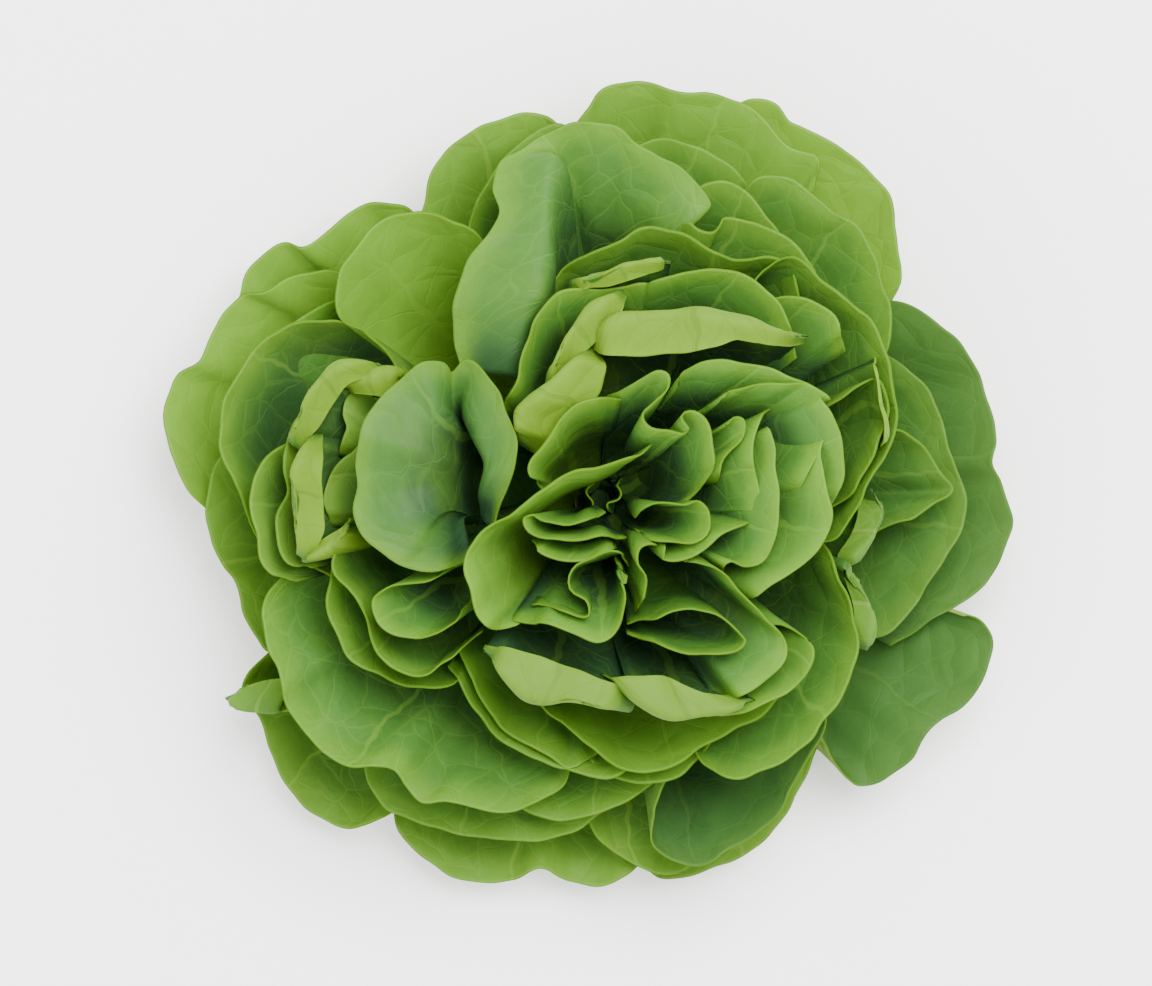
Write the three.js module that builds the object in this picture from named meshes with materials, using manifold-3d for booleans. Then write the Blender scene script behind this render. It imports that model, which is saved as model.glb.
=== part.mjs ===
// Butterhead lettuce, cut and laid on its stem: one stem and the leaves that grow from it.
// Millimetres, +Z up. The origin is the centre of the cut stem face, which lies on the ground.
import * as THREE from 'three';
import { mergeVertices } from 'three/addons/utils/BufferGeometryUtils.js';
import Module from 'manifold-3d';

const wasm = await Module();
wasm.setup();

// ---- Driving dimensions
const HEAD_WIDTH = 256; // across the outer leaves, along X
const HEAD_DEPTH = 242; // across the outer leaves, along Y
const HEAD_HEIGHT = 110; // ground to the highest heart leaf
const LEAF_THICKNESS = 0.8;
const CLEARANCE = 0.3; // gap kept between neighbouring pieces
const STEM_CUT_RADIUS = 15; // radius of the cut face
const STEM_TIP_RADIUS = 3;
const STEM_HEIGHT = 66;
const LOWEST_LEAF_HEIGHT = 8; // where the first leaf leaves the stem
const OUTER_PETIOLE_WIDTH = 24; // width of the lowest leaf where it leaves the stem
const INNER_PETIOLE_WIDTH = 7; // the same for the last leaf of the heart
const GROUND_GAP = 0.5; // lowest leaves hang this far above the ground

// The leaf rims below are drawn for a head of this size and are scaled to the driving dimensions.
const DRAWN = { width: 256, depth: 242, height: 110 };
const SCALE = new THREE.Vector3(
  HEAD_WIDTH / DRAWN.width,
  HEAD_DEPTH / DRAWN.depth,
  HEAD_HEIGHT / DRAWN.height,
);
const ROWS = [0, 0.33, 0.7, 1]; // places along a blade, from stem to rim
const COLUMNS_PER_RIM_POINT = 0.65;
const FEWEST_COLUMNS = 5;
const LOW_SHARE = 0.34; // places on the chord of a blade that its line is pulled from
const HIGH_SHARE = 0.68;
const FOLD_SAG = 0.12; // sag below a fold, as a share of the blade's length
const TURN_SAG = 0.3; // the same below a curl
const CREST_REACH = 2; // how far outside and below its rim a curl is pulled from, in curls
const CREST_DROP = 0.7;
const WIDEST_HALF_ANGLE = 1.2; // most of the stem that one petiole clasps, in radians
const STEM_TAPER = 1.6;
const STEM_SIDES = 24;
const SAME_PLACE = 1e-4; // corners nearer than this are one
const SHORTEST_EDGE = 0.03; // shorter edges left by a cut are closed up

const OUTER_GREEN = new THREE.MeshStandardMaterial({ color: 0x6f9a36, roughness: 0.5, metalness: 0 });
const MIDDLE_GREEN = new THREE.MeshStandardMaterial({ color: 0x7dab3f, roughness: 0.5, metalness: 0 });
const HEART_GREEN = new THREE.MeshStandardMaterial({ color: 0x9cc457, roughness: 0.5, metalness: 0 });
const STEM_CREAM = new THREE.MeshStandardMaterial({ color: 0xe4ebc4, roughness: 0.6, metalness: 0 });

// ---- Leaf shapes
// A cupped blade sags outwards by a share of its own length, low and high up.
const cupped = (low, high) => ({ kind: 'cupped', low, high });
// A turned blade curls inwards over itself: its crest stands outside its rim by this much.
const turned = (curl) => ({ kind: 'turned', curl });
// A folded blade has a drawn fold between stem and rim: a throat it drops into, or a crest it turns over.
const FOLDED = { kind: 'folded' };

// Leaves from the lowest to the innermost. Each rim runs clockwise seen from above.
const leaves = [];
function leaf(name, shape, rim, fold = null) {
  leaves.push({ name, shape, rim, fold });
}

leaf('outer_leaf_southeast_low', cupped(0.24, 0.07), [
  [66, -60, 30], [66, -72, 26], [61, -88, 22], [53, -100, 20], [44, -108, 18], [34, -112, 18],
  [24, -115, 19], [15, -112, 23], [8, -102, 28],
]);
leaf('outer_leaf_northeast_low', cupped(0.24, 0.09), [
  [36, 108, 26], [44, 121, 26], [53, 120, 27], [58, 114, 29], [68, 109.5, 27], [77, 104, 25],
  [85, 96, 24], [89, 88, 26], [90, 82, 27], [92, 71, 27], [89, 61, 28], [82, 50, 29],
]);
leaf('outer_leaf_south', cupped(0.24, 0.09), [
  [20, -104, 26], [9, -114, 21], [0, -117, 18], [-9, -116, 17], [-18, -112, 21], [-27, -115, 18],
  [-38, -116, 16], [-48, -113, 17], [-57, -106, 19], [-62, -98, 22], [-62, -86, 27],
]);
leaf('outer_leaf_southwest', cupped(0.24, 0.09), [
  [-54, -86, 30], [-63, -95, 26], [-71, -99, 22], [-80, -98.5, 19], [-89, -94, 18], [-96, -86, 19],
  [-100, -76, 21], [-103, -66, 24], [-109, -58, 27], [-104, -50, 31], [-94, -42, 35],
]);
leaf('outer_leaf_northwest', cupped(0.24, 0.08), [
  [-114, 48, 27], [-110, 60, 28], [-106, 69, 28], [-100, 75.5, 29], [-95, 78, 31], [-89, 77, 33],
  [-81, 82, 32], [-74, 88, 31], [-67, 90.5, 32], [-59, 89, 34], [-52, 83, 37], [-44, 74, 41],
]);
leaf('outer_leaf_southeast', cupped(0.24, 0.07), [
  [96, -32, 40], [107, -32, 38], [114, -34, 36], [118, -40, 35], [118.5, -47, 34], [115, -56, 33],
  [110, -62, 33], [103, -66, 35], [99, -70, 35], [95, -78, 32], [88, -84, 30], [79, -86.5, 29],
  [73, -83, 31], [69, -76, 35], [66, -64, 40],
]);
leaf('outer_leaf_east', cupped(0.24, 0.09), [
  [76, 56, 34], [86, 60, 34], [97, 57.5, 34], [106, 51, 34], [112, 43, 33], [116, 34, 32],
  [119, 25, 33], [120, 18, 35], [118.5, 11, 37], [121, 4, 35], [125, -5, 32], [124, -13, 31],
  [118, -23, 31], [111, -30, 32], [100, -37, 34], [88, -43, 37],
]);
leaf('outer_leaf_west', cupped(0.24, 0.09), [
  [-106, -12, 28], [-120, -2, 35], [-127, 7, 34], [-130.5, 17, 33], [-131, 27, 34], [-128, 37, 35],
  [-121, 43, 37], [-117.5, 50, 37], [-114, 56, 37], [-108, 61.5, 38], [-102, 63, 40],
  [-94, 67, 42], [-86, 68.5, 43], [-76, 67, 45], [-66, 60, 48],
]);
leaf('outer_leaf_northnorthwest', cupped(0.24, 0.07), [
  [-58, 76, 38], [-54, 87, 39], [-50, 99, 40], [-45, 106, 40], [-38, 112, 41], [-30, 115, 42],
  [-22, 117, 42], [-14, 114, 44], [-6, 106, 47],
]);
leaf('outer_leaf_north', cupped(0.22, 0.07), [
  [-14, 98, 46], [-9, 111, 45], [-3, 120, 43], [4, 125, 42], [14, 125.5, 41], [24, 123, 42],
  [33, 123, 42], [41, 120, 40], [49, 115.5, 38], [55, 109, 37], [61, 106, 36], [66, 103, 35],
  [65, 97, 38], [60, 87, 42],
]);
leaf('outer_leaf_westsouthwest', cupped(0.22, 0.08), [
  [-88, -38, 42], [-98, -45, 39], [-104, -41, 37], [-108, -34, 36], [-110, -25, 37],
  [-114, -19, 36], [-118, -10, 37], [-119, -2, 38], [-118, 6, 40], [-113, 14, 43], [-105, 20, 47],
]);
leaf('outer_leaf_southsouthwest', cupped(0.2, 0.07), [
  [32, -102, 34], [26, -112, 29], [18, -113.5, 28], [10, -110.5, 28], [3, -105, 30], [-2, -99, 33],
  [-4, -90, 38],
]);
leaf('middle_leaf_east_low', cupped(0.22, 0.07), [
  [84, 46, 43], [93, 40, 43], [100, 31, 43], [104, 20, 44], [107, 10, 45], [110, 1, 46],
  [109, -8, 46], [106, -15, 46], [101, -23, 46], [95, -31, 46], [90, -38, 47], [83, -42, 48],
  [74, -42, 50],
]);
leaf('middle_leaf_south_low', cupped(0.2, 0.05), [
  [10, -84, 47], [3, -93, 44], [-6, -99, 41], [-18, -102.5, 39], [-31, -102.5, 38],
  [-43, -101, 38], [-51, -98, 39], [-58, -96, 38], [-65, -93, 38], [-70, -86, 40], [-71, -77, 44],
]);
leaf('middle_leaf_westnorthwest', cupped(0.22, 0.05), [
  [-106, 36, 50], [-100, 46, 52], [-94, 52, 53], [-86, 57, 54], [-78, 60, 53], [-66, 58, 46],
]);
leaf('middle_leaf_north_low', cupped(0.2, 0.05), [
  [4, 98, 52], [12, 106, 52], [20, 108.5, 51], [28, 107, 51], [35, 103.5, 51], [41, 99, 51],
  [48, 90, 52],
]);
leaf('middle_leaf_northnorthwest', cupped(0.22, 0.03), [
  [-34, 66, 58], [-37, 77, 58], [-38, 86, 58], [-35, 94, 58], [-30, 101, 57], [-24, 106, 56],
  [-17, 111.5, 56], [-10, 112.5, 56], [-2, 105, 59],
]);
leaf('middle_leaf_northeast_low', cupped(0.22, 0.05), [
  [36, 82, 60], [43, 92, 60], [50, 96.5, 60], [57, 97, 59], [64, 92, 59], [70, 86.5, 60],
  [77, 82, 60], [82, 74, 60], [85, 64, 60], [86.5, 54, 60], [86, 45, 61], [82, 36, 63],
]);
leaf('middle_leaf_southsoutheast', cupped(0.28, 0.15), [
  [66, -56, 64], [67, -67, 60], [62, -79, 57], [56, -89, 54], [49, -98, 51], [41, -104.5, 49],
  [33, -109, 48], [27, -109.5, 48], [20, -106.5, 49], [15.5, -101, 51], [15.5, -94, 54],
  [19, -86, 58], [25, -79, 62], [33, -72, 66],
]);
leaf('middle_leaf_east_pointed', cupped(0.24, 0.07), [
  [76, 24, 56], [85, 21, 57], [91, 20, 56], [97, 15.5, 54], [102, 9, 53], [106.5, 3, 51],
  [100, -1, 54], [92, -5, 57], [83, -10, 60],
]);
leaf('side_wrapper_leaf', cupped(0.36, 0.19), [
  [-96, -18, 62], [-104, -8, 62], [-109, 3, 62], [-112.5, 13, 62], [-113.5, 23, 62],
  [-112, 32, 62], [-107, 40, 62], [-101, 46.5, 62], [-94, 51.5, 63], [-87, 54, 64],
  [-80, 53.5, 65], [-72, 49, 66], [-65, 43.5, 67], [-57, 36, 68],
]);
leaf('middle_leaf_northwest', cupped(0.24, 0.09), [
  [-56, 36, 66], [-62, 43, 66], [-69, 49, 66], [-76, 54, 66], [-78.5, 61, 67], [-77, 70, 67],
  [-72, 77, 67], [-65, 83, 67], [-56, 85.5, 67], [-47, 85, 68], [-40, 82, 69], [-36, 76, 71],
  [-34, 64, 74],
]);
leaf('middle_leaf_southwest', cupped(0.22, 0.06), [
  [-7, -76, 68], [-10.5, -84.5, 66], [-18, -89, 65], [-26, -92.5, 63], [-34, -93.5, 62],
  [-41, -91.5, 62], [-47, -90.5, 63], [-53, -90, 63], [-58, -86, 62], [-62, -81, 64],
  [-68, -80.5, 66], [-75, -79.5, 65], [-82, -75, 63], [-89, -68, 62], [-94, -62, 63],
  [-95, -56, 66], [-97, -49, 65], [-100, -42, 63], [-101.5, -33, 62], [-99.5, -26, 63],
  [-94, -21.5, 65], [-87, -21, 67], [-79, -24, 71],
]);
leaf('middle_leaf_northnortheast', cupped(0.22, 0.05), [
  [22, 84, 66], [28, 93, 66], [34, 95.5, 66], [40, 94.5, 66], [45.5, 90, 65], [50, 85, 64],
  [54, 79, 64], [58, 70, 65],
]);
leaf('middle_leaf_southeast_turned', FOLDED, [
  [70, -18, 72], [72, -22, 73], [73.7, -26.1, 74], [75.2, -30.2, 74], [75.8, -34.6, 74],
  [76.1, -39.1, 73], [76.5, -43.5, 72],
], [
  [70, -17, 72], [73.6, -20.6, 73.2], [76.5, -24.7, 74.5], [79, -29.1, 74.5], [80.1, -34, 74.5],
  [79.4, -38.8, 73.2], [77.5, -43.5, 72],
]);
leaf('middle_leaf_southwest_cup', cupped(0.28, 0.11), [
  [-36, -48, 72], [-43, -53, 71], [-52, -55, 70], [-61, -54.5, 69], [-69, -51.5, 69],
  [-75, -46.5, 70], [-77.5, -40.5, 71], [-80, -35.5, 72], [-81.5, -29, 73], [-80.5, -21, 74],
  [-77, -13, 76],
]);
leaf('middle_leaf_southeast', cupped(0.28, 0.09), [
  [58, -8, 80], [66, -14, 80], [71.5, -23, 79], [75, -34, 78], [76.5, -45, 77], [75, -54, 76],
  [71, -61.5, 76], [65.5, -66, 76], [61, -72, 75], [54, -78, 74], [46, -82, 73], [39, -82.5, 73],
  [33, -79, 74], [28, -72, 76],
]);
leaf('middle_leaf_southsouthwest', cupped(0.26, 0.07), [
  [16, -76, 73], [8, -80.5, 71], [0, -82.5, 70], [-8, -81, 70], [-15, -77, 71], [-22, -72.5, 72],
  [-29, -67, 73], [-35, -60, 75], [-39.5, -52, 77], [-41, -44, 79],
]);
leaf('middle_leaf_south_high', cupped(0.28, 0.09), [
  [60, -46, 82], [58, -54, 80], [51, -62, 78], [43, -66.5, 77], [35, -71.5, 76], [27, -76.5, 75],
  [18, -79.5, 75], [10, -79.5, 75], [2, -77, 76], [-5, -72, 78], [-13, -65, 80], [-19, -58, 82],
]);
leaf('middle_leaf_westsouthwest', cupped(0.32, 0.15), [
  [-36, -38, 84], [-41, -43, 83], [-45, -48.5, 82], [-51, -52.5, 81], [-58, -51.5, 80],
  [-64, -47, 80], [-68.5, -41, 80], [-70.5, -33, 81], [-74, -26.5, 82], [-78.5, -19, 83],
  [-77, -10, 84], [-72, -2, 85],
]);
leaf('middle_leaf_north', FOLDED, [
  [-41, 38, 82], [-43.5, 48, 81], [-44, 57, 80], [-42, 65, 80], [-38, 72, 80], [-33, 79, 80],
  [-30.5, 86, 80], [-32.5, 93, 79], [-30, 100, 78], [-24, 104, 78], [-17, 108.5, 77],
  [-8, 111.5, 76], [0, 112.5, 75], [7, 111, 74], [12, 106.5, 74], [17, 102.5, 75], [23, 99.5, 74],
  [29, 94.5, 73], [33, 88, 73], [27, 84, 75], [20, 78, 78],
], [
  [-25, 36, 89], [-23, 46, 91], [-20, 55, 92], [-17, 61, 92], [-16, 68, 90], [-15, 76, 88],
  [-14, 84, 86], [-13, 91, 84], [-12, 97, 82], [-10, 99, 77], [-9, 96, 70], [-7, 90, 64],
  [-3, 86, 61], [3, 84, 60], [8, 82, 61], [12, 80, 63], [15, 78, 65], [18, 76, 67], [20, 74, 69],
  [19, 73, 71], [16, 71, 73],
]);
leaf('middle_leaf_northeast_ruffled', cupped(0.26, 0.07), [
  [20, 74, 77], [25, 82.5, 77], [29, 81, 77], [33.5, 80, 76], [36, 82, 76], [38, 83.5, 75],
  [44, 82, 75], [51, 80, 74], [57, 77, 73], [62, 73, 72], [65, 67, 73], [66, 58, 75],
]);
leaf('middle_leaf_north_high', cupped(0.29, 0.11), [
  [-17, 58, 84], [-9, 69.5, 84], [0, 75.5, 84], [8, 79, 84], [15, 80.5, 84], [22, 79.5, 83],
  [28, 77.5, 82], [34, 74, 82], [39, 71, 81], [44, 70.5, 80], [50, 71.5, 79], [55, 70, 79],
  [58.5, 66, 79], [60, 60, 81], [58, 52, 84],
]);
leaf('middle_leaf_east_ring', cupped(0.3, 0.13), [
  [46, 64, 86], [55, 72, 86], [62, 70, 86], [69, 63, 87], [76, 56, 88], [81.5, 49, 89],
  [85.5, 41, 90], [87.5, 33, 90], [87.5, 25, 90], [86, 17, 90], [83, 10.5, 89], [80, 4, 88],
  [76, -3, 87], [71, -9, 86], [66, -11.5, 86], [58, -13, 85],
]);
leaf('middle_leaf_east_inner', cupped(0.3, 0.11), [
  [63, 22, 90], [69, 28.5, 91], [76, 33, 92], [82, 35, 92], [84, 28, 92], [83.5, 19, 92],
  [80.5, 10, 91], [75, 3, 90], [68, -3, 89],
]);
leaf('side_leaf_west', cupped(0.36, 0.12), [
  [-90, -23, 73], [-97, -22, 74], [-101.5, -17, 75], [-103.5, -9, 76], [-104.5, -1, 76],
  [-103.5, 5, 76], [-101, 10.5, 76], [-96, 15.5, 76], [-90, 19, 76],
]);
leaf('side_leaf_southwest', cupped(0.36, 0.12), [
  [-86, -20, 78], [-92, -19, 79], [-95, -13, 80], [-95.5, -5, 80], [-93.5, 2, 80], [-95, 9, 80],
  [-94, 16, 79], [-91, 23, 78], [-86, 28, 78],
]);
leaf('side_leaf_northwest_turned', FOLDED, [
  [-89.5, 16, 84], [-86.1, 19.3, 85.5], [-82.8, 22.5, 87], [-80.4, 26.6, 88.1],
  [-77.9, 30.5, 88.5], [-75.2, 34.4, 88.9], [-71.2, 36.5, 88], [-66.7, 37.6, 86.5], [-62, 38, 85],
], [
  [-89.5, 17, 85], [-89, 22.3, 86.9], [-87.2, 27.2, 88.8], [-84.8, 31.9, 90], [-81.2, 35.7, 90],
  [-77.2, 39.1, 90], [-72, 40.2, 88.8], [-66.9, 40.5, 86.9], [-61.8, 39, 85],
]);
leaf('side_leaf_pale_strip', FOLDED, [
  [-86, -17, 83], [-83.7, -12.9, 84.5], [-82, -8.7, 86], [-82, -4, 87], [-82.3, 0.7, 88],
  [-82.6, 5.3, 88], [-82.4, 10, 88], [-82.6, 14.6, 86.5], [-83, 19.3, 85],
], [
  [-86.5, -16.5, 84], [-88, -11.9, 85.5], [-89.6, -7.3, 87], [-91, -2.7, 88.5], [-91.2, 2.2, 90],
  [-90.9, 7, 89.5], [-88.9, 11.4, 89], [-86.3, 15.4, 87.5], [-83, 19, 86],
]);
leaf('heart_leaf_west_cup', cupped(0.18, -0.03), [
  [-37, -29, 90], [-42, -34, 89], [-48, -38.5, 88], [-55, -41.5, 87], [-61, -40.5, 87],
  [-66, -36.5, 88], [-67.5, -31, 89], [-65, -28, 90], [-57, -25, 91], [-48, -22, 92],
  [-40, -19, 93],
]);
leaf('heart_leaf_northwest_thin', cupped(0.18, -0.03), [
  [-31, 22, 94], [-28, 30, 95], [-24, 38, 96], [-20.5, 47, 96], [-18, 55, 96], [-14.5, 61, 95],
  [-8, 63, 95], [0, 62.5, 95], [7, 63, 95], [14, 64.5, 94], [20, 62, 94],
]);
leaf('heart_leaf_north', cupped(0.18, -0.03), [
  [6, 58, 96], [14, 64, 96], [22, 67, 96], [30, 68.5, 95], [37, 68, 95], [43, 66, 95],
  [49, 62.5, 94], [54, 57, 94], [57, 50, 95], [58, 42, 96],
]);
leaf('heart_leaf_folded', FOLDED, [
  [-38, -17, 95], [-44, -20.5, 97], [-51, -21, 98], [-59, -19, 98], [-66, -15, 98], [-71, -10, 97],
  [-73, -4, 97], [-72, 3, 98], [-72.5, 11, 99], [-71, 20, 100], [-67, 28, 100], [-60, 35, 100],
  [-53, 40.5, 99], [-47, 41, 97], [-44, 38, 93], [-41, 41, 97], [-36, 39, 99], [-31, 34, 100],
  [-28, 28, 101], [-26, 20, 101], [-26, 12, 101], [-27.5, 4, 100], [-30, -3, 99], [-33, -9, 98],
], [
  [-40, -5, 86], [-43, -6, 87], [-44.3, -5.2, 89], [-45.5, -4.3, 92], [-46.8, -2.4, 93],
  [-47.6, 0.3, 93], [-48, 3.1, 94], [-48, 5.8, 95], [-48, 9.5, 96], [-47.6, 13.2, 96],
  [-47.2, 16.9, 96], [-45.9, 20.6, 95], [-44.7, 23.3, 93], [-43.4, 24.2, 87], [-43, 25, 84],
  [-42, 26, 85], [-41, 26, 87], [-39, 23, 90], [-37, 19, 91], [-36, 14, 92], [-35, 9, 92],
  [-35.5, 4, 91], [-36, 0, 90], [-37, -4, 88],
]);
leaf('heart_leaf_south_pale', FOLDED, [
  [10, -56, 101], [4.5, -54.2, 102.1], [-0.9, -52.4, 103.2], [-6.4, -50.4, 104.1],
  [-11.7, -48.1, 104.5], [-17.1, -46.1, 104.9], [-22.6, -44.5, 104.5], [-28.3, -43.5, 103.8],
  [-34, -43, 103],
], [
  [8, -60, 101], [1.8, -61.2, 101.8], [-4.4, -61.1, 102.5], [-10.7, -60.5, 103.1],
  [-16.9, -60.2, 103.5], [-22.8, -58.3, 103.9], [-27.1, -54, 103.6], [-30.7, -48.9, 103.1],
  [-34, -43.5, 102.5],
]);
leaf('heart_leaf_southeast_pale', turned(9), [
  [40, -58, 102], [33, -58, 103], [27, -55, 104], [21, -52, 105], [13, -50.5, 105], [5, -51, 105],
  [-2, -52, 104],
]);
leaf('heart_leaf_north_pale', FOLDED, [
  [-5, 45.5, 103], [1.2, 43.3, 104.2], [7.8, 42.5, 105.4], [14.5, 42.5, 106.4],
  [21.1, 42.9, 107.2], [27.6, 43.8, 108], [34.1, 45.4, 107.6], [40.4, 47.2, 107.2],
  [46.9, 46.1, 106.4], [53.4, 45.4, 105.2], [60, 46.2, 104],
], [
  [-4, 46.5, 103], [1.1, 51.1, 104.2], [6.6, 55, 105.4], [13.3, 56, 106.3], [20.2, 56.5, 106.9],
  [27.1, 56.5, 107.5], [33.5, 54.7, 107.1], [40, 52.5, 106.7], [46.7, 51, 106], [53.3, 49.2, 105],
  [60, 47.5, 104],
]);
leaf('heart_leaf_northwest_pale', FOLDED, [
  [-15, 13, 99], [-11.3, 16.1, 99.8], [-7.7, 19.3, 100.5], [-4.3, 22.7, 101.2], [-1.3, 26.4, 102],
  [1.5, 30.4, 102.8], [3.1, 34.9, 103.2], [3, 39.2, 103.6], [0, 43, 104],
], [
  [-25, 17, 101], [-25.5, 21.6, 102.1], [-25.1, 26.3, 103.2], [-21.7, 29.2, 104.2],
  [-17.9, 31.9, 105], [-14.6, 35.2, 105.8], [-11.6, 38.7, 105.8], [-8, 41.6, 105.4], [-4, 44, 105],
]);
leaf('heart_leaf_east_bright', cupped(0.1, -0.11), [
  [71, 21, 100], [66.5, 20, 102], [65, 15, 103], [66, 8, 103], [68, 1, 103], [68.5, -5, 103],
  [66.5, -11, 103], [62, -17, 103], [56, -21.5, 102], [50, -26, 101], [44, -29.5, 100],
  [38, -30, 98],
]);
leaf('heart_leaf_west_ring', cupped(0.12, -0.11), [
  [-22, -36, 100], [-30, -38.5, 101], [-35, -36, 102], [-38.5, -29, 103], [-40, -21, 104],
  [-38, -14.5, 105], [-32, -8, 106], [-24, -1.5, 107], [-16, 3.5, 108], [-8, 7.5, 109],
  [0, 10.5, 109], [8, 12.5, 109], [14, 14, 109], [18, 16, 108],
]);
leaf('heart_leaf_south_cup', cupped(0.1, -0.11), [
  [21, -15, 100], [27, -18.5, 102], [34, -21, 103], [41, -25.5, 103], [47, -31.5, 103],
  [52, -38, 103], [54.5, -44, 103], [52.5, -49.5, 103], [47, -54.5, 102], [41, -58.5, 102],
  [34, -60, 101],
]);
leaf('heart_leaf_northeast', cupped(0.1, -0.11), [
  [19, 30, 103], [23, 36.5, 105], [28, 40.5, 106], [35, 42, 107], [42, 40.5, 107], [50, 38.5, 107],
  [57, 36, 106], [63, 33.5, 105], [68, 30.5, 104], [66, 26, 103],
]);
leaf('heart_leaf_northwest_lens', cupped(0.12, -0.08), [
  [-16, 4, 104], [-21, 7.5, 105], [-20.5, 12.5, 106], [-16, 19, 107], [-10, 25, 108],
  [-3, 29.5, 108], [6, 30.5, 108],
]);
leaf('heart_leaf_east_broad', cupped(0.1, -0.11), [
  [29, 24, 104], [35, 29.5, 106], [42, 33, 107], [50, 35, 107], [58, 35, 106], [63.5, 32.5, 105],
  [66, 27, 104], [65.5, 19, 103], [63, 11, 102], [59, 4, 101], [54, -1, 99],
]);
leaf('heart_leaf_southwest', cupped(0.1, -0.11), [
  [4, -18, 102], [7, -23, 103], [7.5, -29, 104], [6, -35, 104], [3, -40, 104], [-1, -42, 104],
  [-6, -40.5, 104], [-12, -37.5, 103], [-19, -35.5, 102], [-27, -35.5, 101],
]);
leaf('heart_leaf_east_serpent', cupped(0.1, -0.11), [
  [46, 16, 105], [49, 22, 106], [51, 17, 106], [51.5, 10, 106], [53, 3, 106], [53, -5, 106],
  [51.5, -12, 106], [48, -17, 105], [43, -19, 105], [39, -18, 105], [36.5, -20, 104],
  [38, -25, 102],
]);
leaf('heart_leaf_squiggle', cupped(0.1, -0.11), [
  [2, 31, 107], [9, 34, 109], [15, 37, 110], [19.5, 37, 110], [19.5, 33.5, 110], [15.5, 29, 110],
  [13, 25.5, 110], [15, 22, 109], [20, 20.5, 109], [25, 19, 109], [27, 21, 109], [25, 24.5, 109],
  [28, 25.5, 109], [31.5, 22.5, 109], [34, 16, 109], [33.5, 9.5, 108], [29.5, 4, 107],
  [23, -1, 105],
]);
leaf('heart_leaf_eye', cupped(0.1, -0.11), [
  [8, -37, 102], [14, -34, 103], [21, -32.8, 104], [28, -33, 104], [35, -35, 104],
  [41, -38.5, 104], [43, -41.5, 104], [40, -43.8, 104], [33, -44, 104], [24, -43.5, 103],
  [15, -42.5, 102], [8, -39.5, 101],
]);
leaf('heart_leaf_centre_loop', cupped(0.1, -0.11), [
  [11, -5.5, 106], [15, -2, 107], [20, -0.5, 107], [25, -1.2, 107], [29, 0, 107], [32, -3.5, 107],
  [31.5, -9, 106], [27, -11.3, 106], [21, -12, 106], [15.5, -12, 105], [11, -9, 104],
]);

// ---- Stem
function stemRadiusAt(height) {
  const share = THREE.MathUtils.clamp(height / STEM_HEIGHT, 0, 1);
  return STEM_TIP_RADIUS + (STEM_CUT_RADIUS - STEM_TIP_RADIUS) * (1 - share ** STEM_TAPER);
}

function stemGeometry(margin = 0) {
  const profile = [new THREE.Vector2(0, -margin)];
  for (const share of [0, 0.15, 0.35, 0.6, 0.82, 1]) {
    const height = share * (STEM_HEIGHT + 2 * margin) - margin;
    profile.push(new THREE.Vector2(stemRadiusAt(share * STEM_HEIGHT) + margin, height));
  }
  profile.push(new THREE.Vector2(0, STEM_HEIGHT + margin));
  const geometry = new THREE.LatheGeometry(profile, STEM_SIDES);
  geometry.rotateX(Math.PI / 2);
  return geometry;
}

// ---- Blades
const scaled = (point) => new THREE.Vector3(...point).multiply(SCALE);

function outwardFrom(base, rim) {
  return new THREE.Vector3(rim.x - base.x, rim.y - base.y, 0).normalize();
}

// The line of a blade from the stem to one point of its rim.
function bladeLine(shape, base, rim, fold) {
  const chord = rim.clone().sub(base);
  const outward = outwardFrom(base, rim);
  const reach = chord.length();
  const sag = new THREE.Vector3(outward.x * chord.z, outward.y * chord.z, -Math.hypot(chord.x, chord.y));
  sag.normalize();
  if (shape.kind === 'folded') {
    const low = base.clone().lerp(fold, 0.5).addScaledVector(sag, FOLD_SAG * reach);
    return new THREE.CatmullRomCurve3([base, low, fold, rim], false, 'centripetal');
  }
  if (shape.kind === 'turned') {
    const low = base.clone().lerp(rim, LOW_SHARE).addScaledVector(sag, TURN_SAG * reach);
    const crest = rim.clone().addScaledVector(outward, CREST_REACH * shape.curl);
    crest.z -= CREST_DROP * shape.curl;
    return new THREE.CubicBezierCurve3(base, low, crest, rim);
  }
  const low = base.clone().lerp(rim, LOW_SHARE).addScaledVector(sag, shape.low * reach);
  const high = base.clone().lerp(rim, HIGH_SHARE).addScaledVector(sag, shape.high * reach);
  return new THREE.CubicBezierCurve3(base, low, high, rim);
}

const through = (points, count) => (
  new THREE.CatmullRomCurve3(points.map(scaled), false, 'centripetal').getPoints(count - 1)
);

// Points of a blade, in columns along its rim. `place` is 0 for the lowest leaf, 1 for the last.
function bladeNet({ shape, rim, fold }, place) {
  const columns = Math.max(FEWEST_COLUMNS, Math.round(rim.length * COLUMNS_PER_RIM_POINT));
  const edge = through(rim, columns);
  const inner = fold && through(fold, columns);
  const middle = edge.reduce((sum, point) => sum.add(point), new THREE.Vector3());
  const bearing = Math.atan2(middle.y, middle.x);
  const height = THREE.MathUtils.lerp(LOWEST_LEAF_HEIGHT, STEM_HEIGHT - 2, place);
  const radius = stemRadiusAt(height) + CLEARANCE + LEAF_THICKNESS / 2;
  const width = THREE.MathUtils.lerp(OUTER_PETIOLE_WIDTH, INNER_PETIOLE_WIDTH, place);
  const halfAngle = Math.min(width / (2 * radius), WIDEST_HALF_ANGLE);
  return edge.map((point, column) => {
    const share = column / (edge.length - 1);
    const angle = bearing + halfAngle * (1 - 2 * share);
    const base = new THREE.Vector3(radius * Math.cos(angle), radius * Math.sin(angle), height);
    const line = bladeLine(shape, base, point, fold && inner[column]);
    return ROWS.map((along) => {
      const place3d = line.getPoint(along);
      place3d.z = Math.max(place3d.z, GROUND_GAP + LEAF_THICKNESS);
      return place3d;
    });
  });
}

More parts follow.
